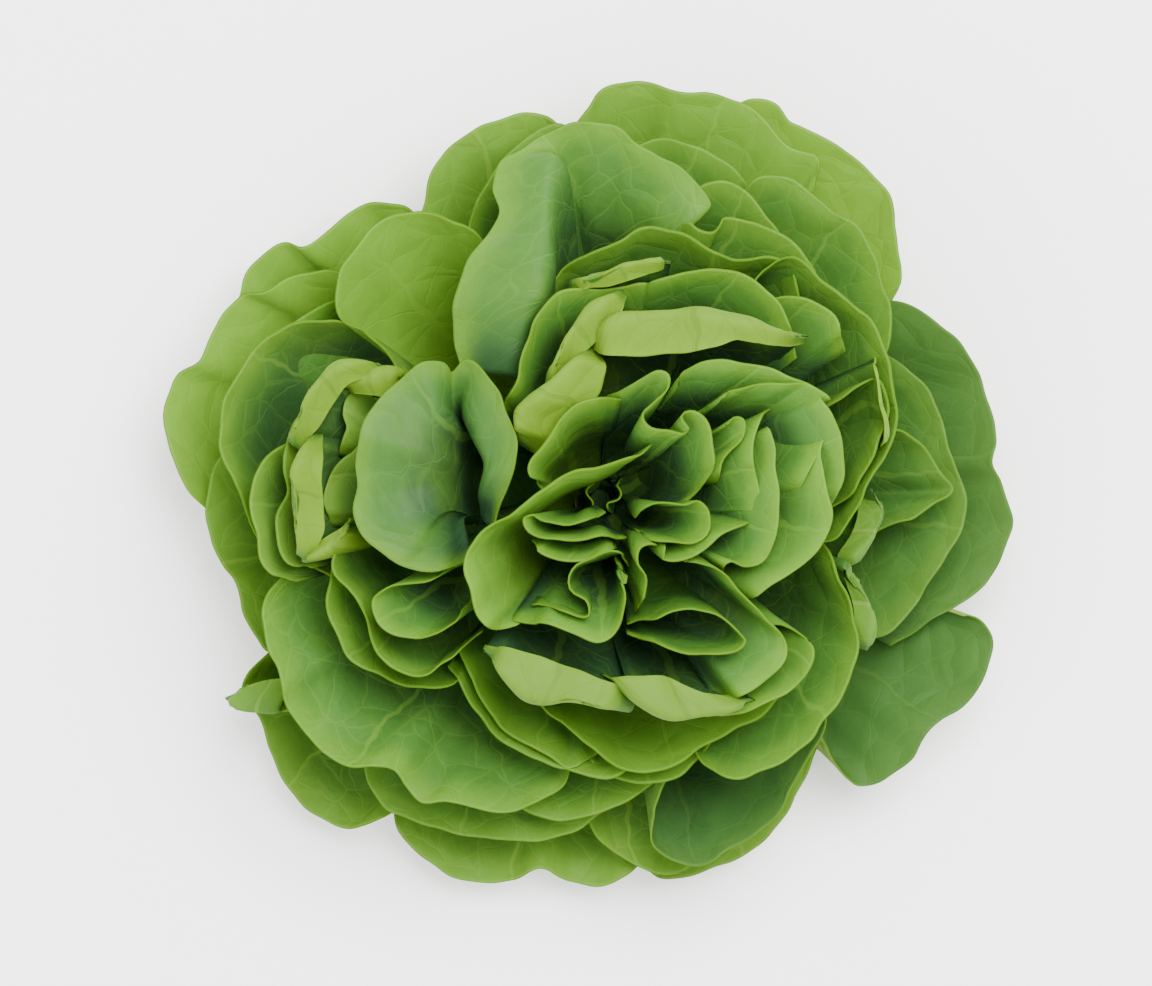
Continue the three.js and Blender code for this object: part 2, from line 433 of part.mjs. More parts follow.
function netNormal(net, column, row) {
  const across = net[Math.min(column + 1, net.length - 1)][row].clone();
  across.sub(net[Math.max(column - 1, 0)][row]);
  const along = net[column][Math.min(row + 1, ROWS.length - 1)].clone();
  along.sub(net[column][Math.max(row - 1, 0)]);
  return along.cross(across).normalize();
}

// Moves the border of a net outwards, so that a grown blade clears its neighbours at its edges too.
function widened(net, margin) {
  const wide = net.map((line) => line.map((point) => point.clone()));
  const push = (point, inner) => point.addScaledVector(point.clone().sub(inner).normalize(), margin);
  const last = net.length - 1;
  net[0].forEach((point, row) => push(wide[0][row], net[1][row]));
  net[last].forEach((point, row) => push(wide[last][row], net[last - 1][row]));
  net.forEach((line, column) => push(wide[column][ROWS.length - 1], line[ROWS.length - 2]));
  return wide;
}

// A closed sheet: the net offset to both sides, with its four borders walled.
function sheetGeometry(net, thickness) {
  const columns = net.length;
  const rows = ROWS.length;
  const positions = [];
  for (const side of [1, -1]) {
    net.forEach((line, column) => line.forEach((point, row) => {
      const offset = netNormal(net, column, row).multiplyScalar((side * thickness) / 2);
      positions.push(point.x + offset.x, point.y + offset.y, point.z + offset.z);
    }));
  }
  const at = (side, column, row) => (side * columns + column) * rows + row;
  const index = [];
  const quad = (a, b, c, d) => index.push(a, b, c, a, c, d);
  for (let column = 0; column < columns - 1; column += 1) {
    for (let row = 0; row < rows - 1; row += 1) {
      quad(at(0, column, row), at(0, column, row + 1), at(0, column + 1, row + 1), at(0, column + 1, row));
      quad(at(1, column, row), at(1, column + 1, row), at(1, column + 1, row + 1), at(1, column, row + 1));
    }
    quad(at(0, column, 0), at(0, column + 1, 0), at(1, column + 1, 0), at(1, column, 0));
    const rim = rows - 1;
    quad(at(0, column + 1, rim), at(0, column, rim), at(1, column, rim), at(1, column + 1, rim));
  }
  const end = columns - 1;
  for (let row = 0; row < rows - 1; row += 1) {
    quad(at(0, 0, row + 1), at(0, 0, row), at(1, 0, row), at(1, 0, row + 1));
    quad(at(0, end, row), at(0, end, row + 1), at(1, end, row + 1), at(1, end, row));
  }
  const geometry = new THREE.BufferGeometry();
  geometry.setAttribute('position', new THREE.Float32BufferAttribute(positions, 3));
  geometry.setIndex(index);
  return geometry;
}

// ---- Solids
function solidOf(geometry) {
  const bare = geometry.clone();
  bare.deleteAttribute('normal');
  bare.deleteAttribute('uv');
  const merged = mergeVertices(bare, SAME_PLACE);
  return new wasm.Manifold(new wasm.Mesh({
    numProp: 3,
    vertProperties: new Float32Array(merged.attributes.position.array),
    triVerts: new Uint32Array(merged.index.array),
  }));
}

// Cuts leave edges far shorter than a leaf is thick. This joins the ends of each such edge, where
// the two ends share just the two corners beside the edge, so that the skin stays closed and whole.
function withoutSlivers(positions, triangles) {
  const joined = Array.from({ length: positions.length / 3 }, (_, vertex) => vertex);
  const beside = joined.map(() => new Set());
  const rootOf = (vertex) => (joined[vertex] === vertex ? vertex : rootOf(joined[vertex]));
  const at = (vertex) => new THREE.Vector3().fromArray(positions, 3 * vertex);
  const nextCorner = (corner) => (corner % 3 === 2 ? corner - 2 : corner + 1);
  triangles.forEach((vertex, corner) => {
    beside[vertex].add(triangles[nextCorner(corner)]);
    beside[triangles[nextCorner(corner)]].add(vertex);
  });
  triangles.forEach((vertex, corner) => {
    const [kept, gone] = [rootOf(vertex), rootOf(triangles[nextCorner(corner)])];
    if (kept === gone || at(kept).distanceTo(at(gone)) >= SHORTEST_EDGE) return;
    if ([...beside[gone]].filter((other) => beside[kept].has(other)).length !== 2) return;
    joined[gone] = kept;
    beside[gone].forEach((other) => {
      beside[other].delete(gone);
      if (other === kept) return;
      beside[other].add(kept);
      beside[kept].add(other);
    });
  });
  const faces = [];
  for (let corner = 0; corner < triangles.length; corner += 3) {
    const face = [0, 1, 2].map((step) => rootOf(triangles[corner + step]));
    if (new Set(face).size === 3) faces.push(...face);
  }
  return faces;
}

function geometryOf(solid) {
  const mesh = solid.getMesh();
  const geometry = new THREE.BufferGeometry();
  geometry.setAttribute('position', new THREE.Float32BufferAttribute(mesh.vertProperties, 3));
  geometry.setIndex(withoutSlivers(mesh.vertProperties, mesh.triVerts));
  geometry.computeVertexNormals();
  return geometry;
}

function largestBody(solid) {
  return solid.decompose().sort((one, other) => other.volume() - one.volume())[0];
}

// Closing a sliver can pinch a blade in two, so its largest body is taken again afterwards.
function bladeGeometry(solid) {
  return geometryOf(largestBody(solidOf(geometryOf(largestBody(solid)))));
}

function boxesMeet(one, other) {
  const a = one.boundingBox();
  const b = other.boundingBox();
  return [0, 1, 2].every((axis) => a.min[axis] <= b.max[axis] && b.min[axis] <= a.max[axis]);
}

// ---- Head of lettuce
const head = new THREE.Group();

const stem = new THREE.Mesh(stemGeometry(), STEM_CREAM);
stem.name = 'stem';
head.add(stem);

const nets = leaves.map((item, number) => bladeNet(item, number / (leaves.length - 1)));
const grownStem = solidOf(stemGeometry(CLEARANCE));
const grownThickness = LEAF_THICKNESS + 2 * CLEARANCE;
const grown = nets.map((net) => solidOf(sheetGeometry(widened(net, CLEARANCE), grownThickness)));

function materialOf(name) {
  if (name.startsWith('outer')) return OUTER_GREEN;
  return name.startsWith('middle') ? MIDDLE_GREEN : HEART_GREEN;
}

// An upper leaf presses into the one below it, so each blade is cut clear of every blade that covers it.
leaves.forEach(({ name }, number) => {
  let solid = solidOf(sheetGeometry(nets[number], LEAF_THICKNESS)).subtract(grownStem);
  for (const cover of grown.slice(number + 1)) {
    if (boxesMeet(solid, cover)) solid = solid.subtract(cover);
  }
  const blade = new THREE.Mesh(bladeGeometry(solid), materialOf(name));
  blade.name = name;
  head.add(blade);
});

export default head;
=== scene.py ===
"""A loose butterhead lettuce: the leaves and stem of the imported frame, given their final shape and finish.

Each leaf is a flat grid bent into a blade that runs from the stem to a drawn rim, ruffled along its
margin, given a thickness, and dressed with a veined upper side and a paler underside.
"""

import logging
import math
from dataclasses import dataclass
from enum import Enum
from typing import ClassVar, Union

import bpy
import numpy as np
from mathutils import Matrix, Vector

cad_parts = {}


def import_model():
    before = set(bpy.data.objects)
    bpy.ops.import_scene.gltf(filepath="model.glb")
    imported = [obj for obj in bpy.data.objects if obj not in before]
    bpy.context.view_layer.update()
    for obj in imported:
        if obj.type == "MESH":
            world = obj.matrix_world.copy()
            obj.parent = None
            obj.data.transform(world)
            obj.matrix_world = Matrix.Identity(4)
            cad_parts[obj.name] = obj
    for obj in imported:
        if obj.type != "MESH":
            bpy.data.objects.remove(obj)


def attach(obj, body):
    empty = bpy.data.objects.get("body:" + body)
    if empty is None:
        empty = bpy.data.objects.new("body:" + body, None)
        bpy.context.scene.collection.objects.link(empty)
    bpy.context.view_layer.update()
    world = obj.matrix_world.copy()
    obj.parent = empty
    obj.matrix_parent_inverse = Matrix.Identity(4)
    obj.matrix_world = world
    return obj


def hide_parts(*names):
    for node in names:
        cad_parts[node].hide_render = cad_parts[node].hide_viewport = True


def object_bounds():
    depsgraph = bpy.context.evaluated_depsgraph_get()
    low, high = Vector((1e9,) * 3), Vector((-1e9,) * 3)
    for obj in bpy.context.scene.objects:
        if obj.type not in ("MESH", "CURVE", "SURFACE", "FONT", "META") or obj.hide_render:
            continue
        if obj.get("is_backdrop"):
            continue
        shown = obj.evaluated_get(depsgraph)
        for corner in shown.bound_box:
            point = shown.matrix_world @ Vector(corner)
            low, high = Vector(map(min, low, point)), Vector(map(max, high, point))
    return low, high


LOG = logging.getLogger("lettuce")
MM = 0.001

Point = tuple[float, float, float]
Points = tuple[Point, ...]
Colour = tuple[float, float, float]


# ---------------------------------------------------------------- sizes


@dataclass(frozen=True)
class HeadSizes:
    """Driving sizes of the head, in millimetres."""

    width: float
    depth: float
    height: float
    drawn_width: float = 256.0
    drawn_depth: float = 242.0
    drawn_height: float = 110.0
    stem_cut_radius: float = 15.0
    stem_tip_radius: float = 3.0
    stem_height: float = 66.0
    stem_taper: float = 1.6
    lowest_leaf_height: float = 8.0
    highest_leaf_drop: float = 2.0
    outer_petiole_width: float = 24.0
    inner_petiole_width: float = 7.0
    widest_half_angle: float = 1.2
    leaf_gap: float = 0.7
    ground_gap: float = 1.3

    @property
    def scale(self) -> np.ndarray:
        """How much the drawn rims are scaled along X, Y and Z."""
        built = np.array([self.width, self.depth, self.height])
        return built / np.array([self.drawn_width, self.drawn_depth, self.drawn_height])

    def stem_radius_at(self, height: float) -> float:
        """Radius of the stem at a height above its cut face."""
        share = min(max(height / self.stem_height, 0.0), 1.0)
        spread = self.stem_cut_radius - self.stem_tip_radius
        return self.stem_tip_radius + spread * (1 - share**self.stem_taper)


class Zone(Enum):
    """Where a leaf grows on the head."""

    OUTER = "outer_leaf"
    MIDDLE = "middle_leaf"
    SIDE = "side_leaf"
    HEART = "heart_leaf"

    @property
    def slot(self) -> str:
        """The record's material slot of the zone's leaves."""
        return "heart_leaf" if self in (Zone.SIDE, Zone.HEART) else self.value

    @property
    def tuck(self) -> float:
        """How far the two ends of a rim dip under their neighbours, in millimetres."""
        return {Zone.OUTER: 7.0, Zone.MIDDLE: 6.0, Zone.SIDE: 4.0, Zone.HEART: 9.0}[self]


# ---------------------------------------------------------------- curves


def unit(vectors: np.ndarray) -> np.ndarray:
    """Vectors along the last axis, each of length one."""
    return vectors / np.maximum(np.linalg.norm(vectors, axis=-1, keepdims=True), 1e-9)


def smooth(low: float, high: float, values: np.ndarray) -> np.ndarray:
    """A smooth step from 0 at low to 1 at high."""
    share = np.clip((values - low) / (high - low), 0.0, 1.0)
    return share * share * (3 - 2 * share)


def through(stations: np.ndarray, places: np.ndarray) -> np.ndarray:
    """A smooth curve through stations.

    Args:
        stations: The points the curve passes, along the first axis.
        places: Where to read it, from 0 at the first station to 1 at the last.

    Returns:
        The curve's points, with places along the first axis.
    """
    last = len(stations) - 1
    at = np.clip(places * last, 0, last - 1e-9)
    index = at.astype(int)
    share = (at - index).reshape((-1,) + (1,) * (stations.ndim - 1))
    lead = 2 * stations[:1] - stations[1:2]
    trail = 2 * stations[-1:] - stations[-2:-1]
    padded = np.concatenate([lead, stations, trail])
    before, start, end, after = (padded[index + step] for step in range(4))
    slope_in = (end - before) / 2
    slope_out = (after - start) / 2
    square, cube = share**2, share**3
    return (
        (2 * cube - 3 * square + 1) * start
        + (cube - 2 * square + share) * slope_in
        + (3 * square - 2 * cube) * end
        + (cube - square) * slope_out
    )


def bezier(corners: tuple[np.ndarray, ...], along: np.ndarray) -> np.ndarray:
    """Cubic curves, one for each column of points.

    Args:
        corners: Four arrays of points, one row for each curve.
        along: Where to read the curves, from 0 to 1.

    Returns:
        Points, with curves along the first axis and along on the second.
    """
    share = along[None, :, None]
    start, low, high, end = (corner[:, None, :] for corner in corners)
    rest = 1 - share
    pull = 3 * rest**2 * share * low + 3 * rest * share**2 * high
    return rest**3 * start + pull + share**3 * end


# ---------------------------------------------------------------- leaf shapes


def sag_of(base: np.ndarray, rim: np.ndarray) -> tuple[np.ndarray, np.ndarray]:
    """The direction a blade sags in and its reach, for each column."""
    chord = rim - base
    flat = np.hypot(chord[:, 0], chord[:, 1])
    outward = unit(np.column_stack([chord[:, 0], chord[:, 1], 0 * flat]))
    sag = np.column_stack(
        [outward[:, 0] * chord[:, 2], outward[:, 1] * chord[:, 2], -flat]
    )
    return unit(sag), np.linalg.norm(chord, axis=1)[:, None]


@dataclass(frozen=True)
class Cupped:
    """A blade that sags outwards by a share of its own length, low and high up."""

    low: float
    high: float
    low_share: ClassVar[float] = 0.34
    high_share: ClassVar[float] = 0.68

    def lines(
        self, base: np.ndarray, rim: np.ndarray, fold: np.ndarray, along: np.ndarray
    ) -> np.ndarray:
        """Lines of the blade from base to rim."""
        sag, reach = sag_of(base, rim)
        low = base + self.low_share * (rim - base) + self.low * reach * sag
        high = base + self.high_share * (rim - base) + self.high * reach * sag
        return bezier((base, low, high, rim), along)


@dataclass(frozen=True)
class Turned:
    """A blade that curls inwards over itself, with its crest outside its rim."""

    curl: float
    low_share: ClassVar[float] = 0.35
    low_sag: ClassVar[float] = 0.3
    crest_reach: ClassVar[float] = 2.0
    crest_drop: ClassVar[float] = 0.7

    def lines(
        self, base: np.ndarray, rim: np.ndarray, fold: np.ndarray, along: np.ndarray
    ) -> np.ndarray:
        """Lines of the blade from base over the crest to rim."""
        sag, reach = sag_of(base, rim)
        outward = unit((rim - base) * np.array([1.0, 1.0, 0.0]))
        low = base + self.low_share * (rim - base) + self.low_sag * reach * sag
        drop = np.array([0, 0, self.crest_drop * self.curl])
        crest = rim + self.crest_reach * self.curl * outward - drop
        return bezier((base, low, crest, rim), along)


@dataclass(frozen=True)
class Folded:
    """A blade with a drawn fold: a throat it drops into, or a crest it turns over."""

    low_sag: ClassVar[float] = 0.12

    def lines(
        self, base: np.ndarray, rim: np.ndarray, fold: np.ndarray, along: np.ndarray
    ) -> np.ndarray:
        """Lines of the blade from base through the fold to rim."""
        sag, reach = sag_of(base, rim)
        low = (base + fold) / 2 + self.low_sag * reach * sag
        return through(np.stack([base, low, fold, rim]), along).transpose(1, 0, 2)


Form = Union[Cupped, Turned, Folded]


@dataclass(frozen=True)
class Leaf:
    """One leaf as drawn: its form and the stations of its rim, clockwise seen from above."""

    name: str
    form: Form
    rim: Points
    fold: Points = ()
    has_node: bool = True
    # Painted light and shade on the whole leaf: above 0 it mixes towards the lighter margin colour, below 0
    # towards the darker deep colour.
    tone: float = 0.0
    is_pale: bool = False

    @property
    def zone(self) -> Zone:
        """The zone that the leaf's name starts with."""
        return next(z for z in Zone if self.name.startswith(z.value.split("_")[0]))


# ---------------------------------------------------------------- the leaves as drawn


# From the lowest to the innermost, in millimetres. A rim runs clockwise seen from above.
LEAVES: tuple[Leaf, ...] = (
    Leaf(
        "outer_leaf_southeast_low", Cupped(0.24, 0.07), (
            (66, -60, 30), (66, -72, 26), (61, -88, 22), (53, -100, 20), (44, -108, 18), (34, -112, 18),
            (24, -115, 19), (15, -112, 23), (8, -102, 28),
        ), tone=-0.1,
    ),
    Leaf(
        "outer_leaf_northeast_low", Cupped(0.24, 0.09), (
            (36, 108, 26), (44, 121, 26), (53, 120, 27), (58, 114, 29), (68, 109.5, 27), (77, 104, 25),
            (85, 96, 24), (89, 88, 26), (90, 82, 27), (92, 71, 27), (89, 61, 28), (82, 50, 29),
        ), tone=1,
    ),
    Leaf(
        "outer_leaf_south", Cupped(0.24, 0.09), (
            (20, -104, 26), (9, -114, 21), (0, -117, 18), (-9, -116, 17), (-18, -112, 21),
            (-27, -115, 18), (-38, -116, 16), (-48, -113, 17), (-57, -106, 19), (-62, -98, 22),
            (-62, -86, 27),
        ), tone=0.2,
    ),
    Leaf(
        "outer_leaf_southwest", Cupped(0.24, 0.09), (
            (-54, -86, 30), (-63, -95, 26), (-71, -99, 22), (-80, -98.5, 19), (-89, -94, 18),
            (-96, -86, 19), (-100, -76, 21), (-103, -66, 24), (-109, -58, 27), (-104, -50, 31),
            (-94, -42, 35),
        ),
    ),
    Leaf(
        "outer_leaf_northwest", Cupped(0.24, 0.08), (
            (-114, 48, 27), (-110, 60, 28), (-106, 69, 28), (-100, 75.5, 29), (-95, 78, 31),
            (-89, 77, 33), (-81, 82, 32), (-74, 88, 31), (-67, 90.5, 32), (-59, 89, 34), (-52, 83, 37),
            (-44, 74, 41),
        ), tone=0.7,
    ),
    Leaf(
        "outer_leaf_southeast", Cupped(0.24, 0.07), (
            (94, -35, 33), (105, -34, 34), (113, -35.5, 34), (117.5, -40, 34.5), (118.5, -47, 34),
            (115, -56, 33), (110, -62, 33), (103, -66, 35), (99, -70, 35), (95, -78, 32), (88, -84, 30),
            (79, -86.5, 29), (73, -83, 31), (69, -76, 35), (66, -64, 40),
        ), tone=-0.7,
    ),
    Leaf(
        "outer_leaf_east", Cupped(0.24, 0.09), (
            (76, 56, 34), (86, 60, 34), (97, 57.5, 34), (106, 51, 34), (112, 43, 33), (116, 34, 32),
            (119, 25, 33), (120, 18, 35), (118.5, 11, 37), (121, 4, 35), (125, -5, 32), (124, -13, 31),
            (118, -23, 31), (111, -30, 32), (100, -37, 34), (88, -43, 37),
        ), tone=-0.65,
    ),
    Leaf(
        "outer_leaf_west", Cupped(0.24, 0.09), (
            (-106, -12, 28), (-120, -2, 35), (-127, 7, 34), (-130.5, 17, 33), (-131, 27, 34),
            (-128, 37, 35), (-121, 43, 37), (-117.5, 50, 37), (-114, 56, 37), (-108, 61.5, 38),
            (-102, 63, 40), (-94, 67, 42), (-86, 68.5, 43), (-76, 67, 45), (-66, 60, 48),
        ), tone=0.75,
    ),
    Leaf(
        "outer_leaf_northnorthwest", Cupped(0.24, 0.07), (
            (-58, 76, 38), (-54, 87, 39), (-50, 99, 40), (-45, 106, 40), (-38, 112, 41), (-30, 115, 42),
            (-22, 117, 42), (-14, 114, 44), (-6, 106, 47),
        ), tone=0.35,
    ),
    Leaf(
        "outer_leaf_north", Cupped(0.22, 0.07), (
            (-14, 98, 46), (-9, 111, 45), (-3, 120, 43), (4, 125, 42), (14, 125.5, 41), (24, 123, 42),
            (33, 123, 42), (41, 120, 40), (49, 115.5, 38), (55, 109, 37), (61, 106, 36), (66, 103, 35),
            (65, 97, 38), (60, 87, 42),
        ), tone=0.5,
    ),
    Leaf(
        "outer_leaf_westsouthwest", Cupped(0.22, 0.08), (
            (-88, -38, 42), (-98, -45, 39), (-104, -41, 37), (-108, -34, 36), (-110, -25, 37),
            (-114, -19, 36), (-118, -10, 37), (-119, -2, 38), (-118, 6, 40), (-113, 14, 43),
            (-105, 20, 47),
        ),
    ),
    Leaf(
        "outer_leaf_southsouthwest", Cupped(0.2, 0.07), (
            (32, -102, 34), (26, -112, 29), (18, -113.5, 28), (10, -110.5, 28), (3, -105, 30),
            (-2, -99, 33), (-4, -90, 38),
        ),
    ),
    Leaf(
        "outer_leaf_southwest_lip", Folded(), (
            (-110, -58, 31), (-104, -55.5, 33), (-97, -54, 34), (-92, -56, 33),
        ), (
            (-109.5, -59, 31), (-105, -62.5, 33), (-98.5, -64, 34), (-92, -62, 33),
        ), has_node=False, is_pale=True,
    ),
    Leaf(
        "middle_leaf_east_low", Cupped(0.22, 0.07), (
            (84, 46, 43), (93, 40, 43), (100, 31, 43), (104, 20, 44), (107, 10, 45), (110, 1, 46),
            (109, -8, 46), (106, -15, 46), (101, -23, 46), (95, -31, 46), (90, -38, 47), (83, -42, 48),
            (74, -42, 50),
        ), tone=-0.4,
    ),
    Leaf(
        "middle_leaf_south_low", Cupped(0.2, 0.05), (
            (10, -84, 47), (3, -93, 44), (-6, -99, 41), (-18, -102.5, 39), (-31, -102.5, 38),
            (-43, -101, 38), (-51, -98, 39), (-58, -96, 38), (-65, -93, 38), (-70, -86, 40),
            (-71, -77, 44),
        ),
    ),
    Leaf(
        "middle_leaf_westnorthwest", Cupped(0.22, 0.05), (
            (-106, 36, 50), (-100, 46, 52), (-94, 52, 53), (-86, 57, 54), (-78, 60, 53), (-66, 58, 46),
        ),
    ),
    Leaf(
        "middle_leaf_north_low", Cupped(0.2, 0.05), (
            (4, 98, 52), (12, 106, 52), (20, 108.5, 51), (28, 107, 51), (35, 103.5, 51), (41, 99, 51),
            (48, 90, 52),
        ),
    ),
    Leaf(
        "middle_leaf_northnorthwest", Cupped(0.22, 0.03), (
            (-34, 66, 58), (-37, 77, 58), (-38, 86, 58), (-35, 94, 58), (-30, 101, 57), (-24, 106, 56),
            (-17, 111.5, 56), (-10, 112.5, 56), (-2, 105, 59),
        ),
    ),
    Leaf(
        "middle_leaf_northeast_low", Cupped(0.22, 0.05), (
            (36, 82, 60), (43, 92, 60), (50, 96.5, 60), (57, 97, 59), (64, 92, 59), (70, 86.5, 60),
            (77, 82, 60), (82, 74, 60), (85, 64, 60), (86.5, 54, 60), (86, 45, 61), (82, 36, 63),
        ),
    ),
    Leaf(
        "middle_leaf_south", Cupped(0.22, 0.05), (
            (24, -74, 58), (18, -82, 56), (12, -88.5, 53), (4, -93, 51), (-5, -95.5, 50), (-14, -96, 49),
            (-22, -93.5, 49), (-30, -87, 51),
        ), has_node=False,
    ),
    Leaf(
        "middle_leaf_southsoutheast", Cupped(0.28, 0.15), (
            (66, -56, 64), (67, -67, 60), (62, -79, 57), (56, -89, 54), (49, -98, 51), (41, -104.5, 49),
            (33, -109, 48), (27, -109.5, 48), (20, -106.5, 49), (15.5, -101, 51), (15.5, -94, 54),
            (19, -86, 58), (25, -79, 62), (33, -72, 66),
        ), tone=-0.65,
    ),
    Leaf(
        "middle_leaf_east_pointed", Cupped(0.24, 0.07), (
            (76, 24, 56), (85, 21, 57), (91, 20, 56), (97, 15.5, 54), (102, 9, 53), (106.5, 3, 51),
            (100, -1, 54), (92, -5, 57), (83, -10, 60),
        ), tone=-0.4,
    ),
    Leaf(
        "middle_leaf_east_turned", Folded(), (
            (76, 3, 68), (76.7, -1, 68), (76.6, -5.1, 68), (75.5, -9, 68), (73.7, -12.7, 67.7),
            (71.8, -16.3, 67.3), (70, -20, 67),
        ), (
            (80, 3.5, 69), (83.3, 0, 69.2), (84.2, -4.7, 69.3), (81.9, -9.1, 69.5), (78.8, -12.9, 69),
            (75.5, -16.5, 68.5), (72, -20, 68),
        ), has_node=False, tone=-0.3,
    ),
    Leaf(
        "side_wrapper_leaf", Cupped(0.36, 0.19), (
            (-96, -18, 62), (-104, -8, 62), (-109, 3, 62), (-112.5, 13, 62), (-113.5, 23, 62),
            (-112, 32, 62), (-107, 40, 62), (-101, 46.5, 62), (-94, 51.5, 63), (-87, 54, 64),
            (-80, 53.5, 65), (-72, 49, 66), (-65, 43.5, 67), (-57, 36, 68),
        ),
    ),
    Leaf(
        "middle_leaf_northwest", Cupped(0.24, 0.09), (
            (-56, 36, 66), (-62, 43, 66), (-69, 49, 66), (-76, 54, 66), (-78.5, 61, 67), (-77, 70, 67),
            (-72, 77, 67), (-65, 83, 67), (-56, 85.5, 67), (-47, 85, 68), (-40, 82, 69), (-36, 76, 71),
            (-34, 64, 74),
        ), tone=0.7,
    ),
    Leaf(
        "middle_leaf_southwest", Cupped(0.22, 0.06), (
            (-7, -76, 68), (-10.5, -84.5, 66), (-18, -89, 65), (-26, -92.5, 63), (-34, -93.5, 62),
            (-41, -91.5, 62), (-47, -90.5, 63), (-53, -90, 63), (-58, -86, 62), (-62, -81, 64),
            (-68, -80.5, 66), (-75, -79.5, 65), (-82, -75, 63), (-89, -68, 62), (-94, -62, 63),
            (-95, -56, 66), (-97, -49, 65), (-100, -42, 63), (-101.5, -33, 62), (-99.5, -26, 63),
            (-94, -21.5, 65), (-87, -21, 67), (-79, -24, 71),
        ),
    ),
    Leaf(
        "middle_leaf_northnortheast", Cupped(0.22, 0.05), (
            (22, 84, 66), (28, 93, 66), (34, 95.5, 66), (40, 94.5, 66), (45.5, 90, 65), (50, 85, 64),
            (54, 79, 64), (58, 70, 65),
        ),
    ),
    Leaf(
        "middle_leaf_southeast_turned", Folded(), (
            (70, -18, 72), (72, -22, 73), (73.7, -26.1, 74), (75.2, -30.2, 74), (75.8, -34.6, 74),
            (76.1, -39.1, 73), (76.5, -43.5, 72),
        ), (
            (70, -17, 72), (73.6, -20.6, 73.2), (76.5, -24.7, 74.5), (79, -29.1, 74.5),
            (80.1, -34, 74.5), (79.4, -38.8, 73.2), (77.5, -43.5, 72),
        ), tone=-0.3,
    ),
    Leaf(
        "middle_leaf_southwest_cup", Cupped(0.28, 0.11), (
            (-36, -48, 72), (-43, -53, 71), (-52, -55, 70), (-61, -54.5, 69), (-69, -51.5, 69),
            (-75, -46.5, 70), (-77.5, -40.5, 71), (-80, -35.5, 72), (-81.5, -29, 73), (-80.5, -21, 74),
            (-77, -13, 76),
        ),
    ),
    Leaf(
        "middle_leaf_south_under", Cupped(0.24, 0.07), (
            (38, -66, 68), (30, -76, 66), (23, -82.5, 65), (15, -85, 64), (7, -83.5, 64), (0, -79, 66),
            (-8, -72, 69),
        ), has_node=False,
    ),
    Leaf(
        "middle_leaf_southeast", Cupped(0.28, 0.09), (
            (58, -8, 80), (66, -14, 80), (71.5, -23, 79), (75, -34, 78), (76.5, -45, 77), (75, -54, 76),
            (71, -61.5, 76), (65.5, -66, 76), (61, -72, 75), (54, -78, 74), (46, -82, 73),
            (39, -82.5, 73), (33, -79, 74), (28, -72, 76),
        ),
    ),
    Leaf(
        "middle_leaf_southsouthwest_thin", Cupped(0.24, 0.05), (
            (0, -74, 72), (-9, -80.5, 70), (-19, -78, 69), (-28, -72.5, 70), (-35, -65.5, 71),
            (-41, -57, 72), (-44.5, -49, 74),
        ), has_node=False,
    ),
    Leaf(
        "middle_leaf_southsouthwest", Cupped(0.26, 0.07), (
            (16, -76, 73), (8, -80.5, 71), (0, -82.5, 70), (-8, -81, 70), (-15, -77, 71),
            (-22, -72.5, 72), (-29, -67, 73), (-35, -60, 75), (-39.5, -52, 77), (-41, -44, 79),
        ), tone=0.3,
    ),
    Leaf(
        "middle_leaf_south_high", Cupped(0.28, 0.09), (
            (60, -46, 82), (58, -54, 80), (51, -62, 78), (43, -66.5, 77), (35, -71.5, 76),
            (27, -76.5, 75), (18, -79.5, 75), (10, -79.5, 75), (2, -77, 76), (-5, -72, 78),
            (-13, -65, 80), (-19, -58, 82),
        ), tone=0.5,
    ),
    Leaf(
        "middle_leaf_westsouthwest", Cupped(0.32, 0.15), (
            (-36, -38, 84), (-41, -43, 83), (-45, -48.5, 82), (-51, -52.5, 81), (-58, -51.5, 80),
            (-64, -47, 80), (-68.5, -41, 80), (-70.5, -33, 81), (-74, -26.5, 82), (-78.5, -19, 83),
            (-77, -10, 84), (-72, -2, 85),
        ),
    ),
    Leaf(
        "middle_leaf_north", Folded(), (
            (-41, 38, 82), (-43.5, 48, 81), (-44, 57, 80), (-42, 65, 80), (-38, 72, 80), (-33, 79, 80),
            (-30.5, 86, 80), (-32.5, 93, 79), (-30, 100, 78), (-24, 104, 78), (-17, 108.5, 77),
            (-8, 111.5, 76), (0, 112.5, 75), (7, 111, 74), (12, 106.5, 74), (17, 102.5, 75),
            (23, 99.5, 74), (29, 94.5, 73), (33, 88, 73), (27, 84, 75), (20, 78, 78),
        ), (
            (-25, 36, 89), (-23, 46, 91), (-20, 55, 92), (-17, 61, 92), (-16, 68, 90), (-15, 76, 88),
            (-14, 84, 86), (-13, 91, 84), (-12, 97, 82), (-10, 99, 77), (-9, 96, 70), (-7, 90, 64),
            (-3, 86, 61), (3, 84, 60), (8, 82, 61), (12, 80, 63), (15, 78, 65), (18, 76, 67),
            (20, 74, 69), (19, 73, 71), (16, 71, 73),
        ),
    ),
    Leaf(
        "middle_leaf_northeast_ruffled", Cupped(0.26, 0.07), (
            (20, 74, 77), (25, 82.5, 77), (29, 81, 77), (33.5, 80, 76), (36, 82, 76), (38, 83.5, 75),
            (44, 82, 75), (51, 80, 74), (57, 77, 73), (62, 73, 72), (65, 67, 73), (66, 58, 75),
        ),
    ),
    Leaf(
        "middle_leaf_north_high", Cupped(0.29, 0.11), (
            (-17, 58, 84), (-9, 69.5, 84), (0, 75.5, 84), (8, 79, 84), (15, 80.5, 84), (22, 79.5, 83),
            (28, 77.5, 82), (34, 74, 82), (39, 71, 81), (44, 70.5, 80), (50, 71.5, 79), (55, 70, 79),
            (58.5, 66, 79), (60, 60, 81), (58, 52, 84),
        ),
    ),
    Leaf(
        "middle_leaf_east_ring", Cupped(0.3, 0.13), (
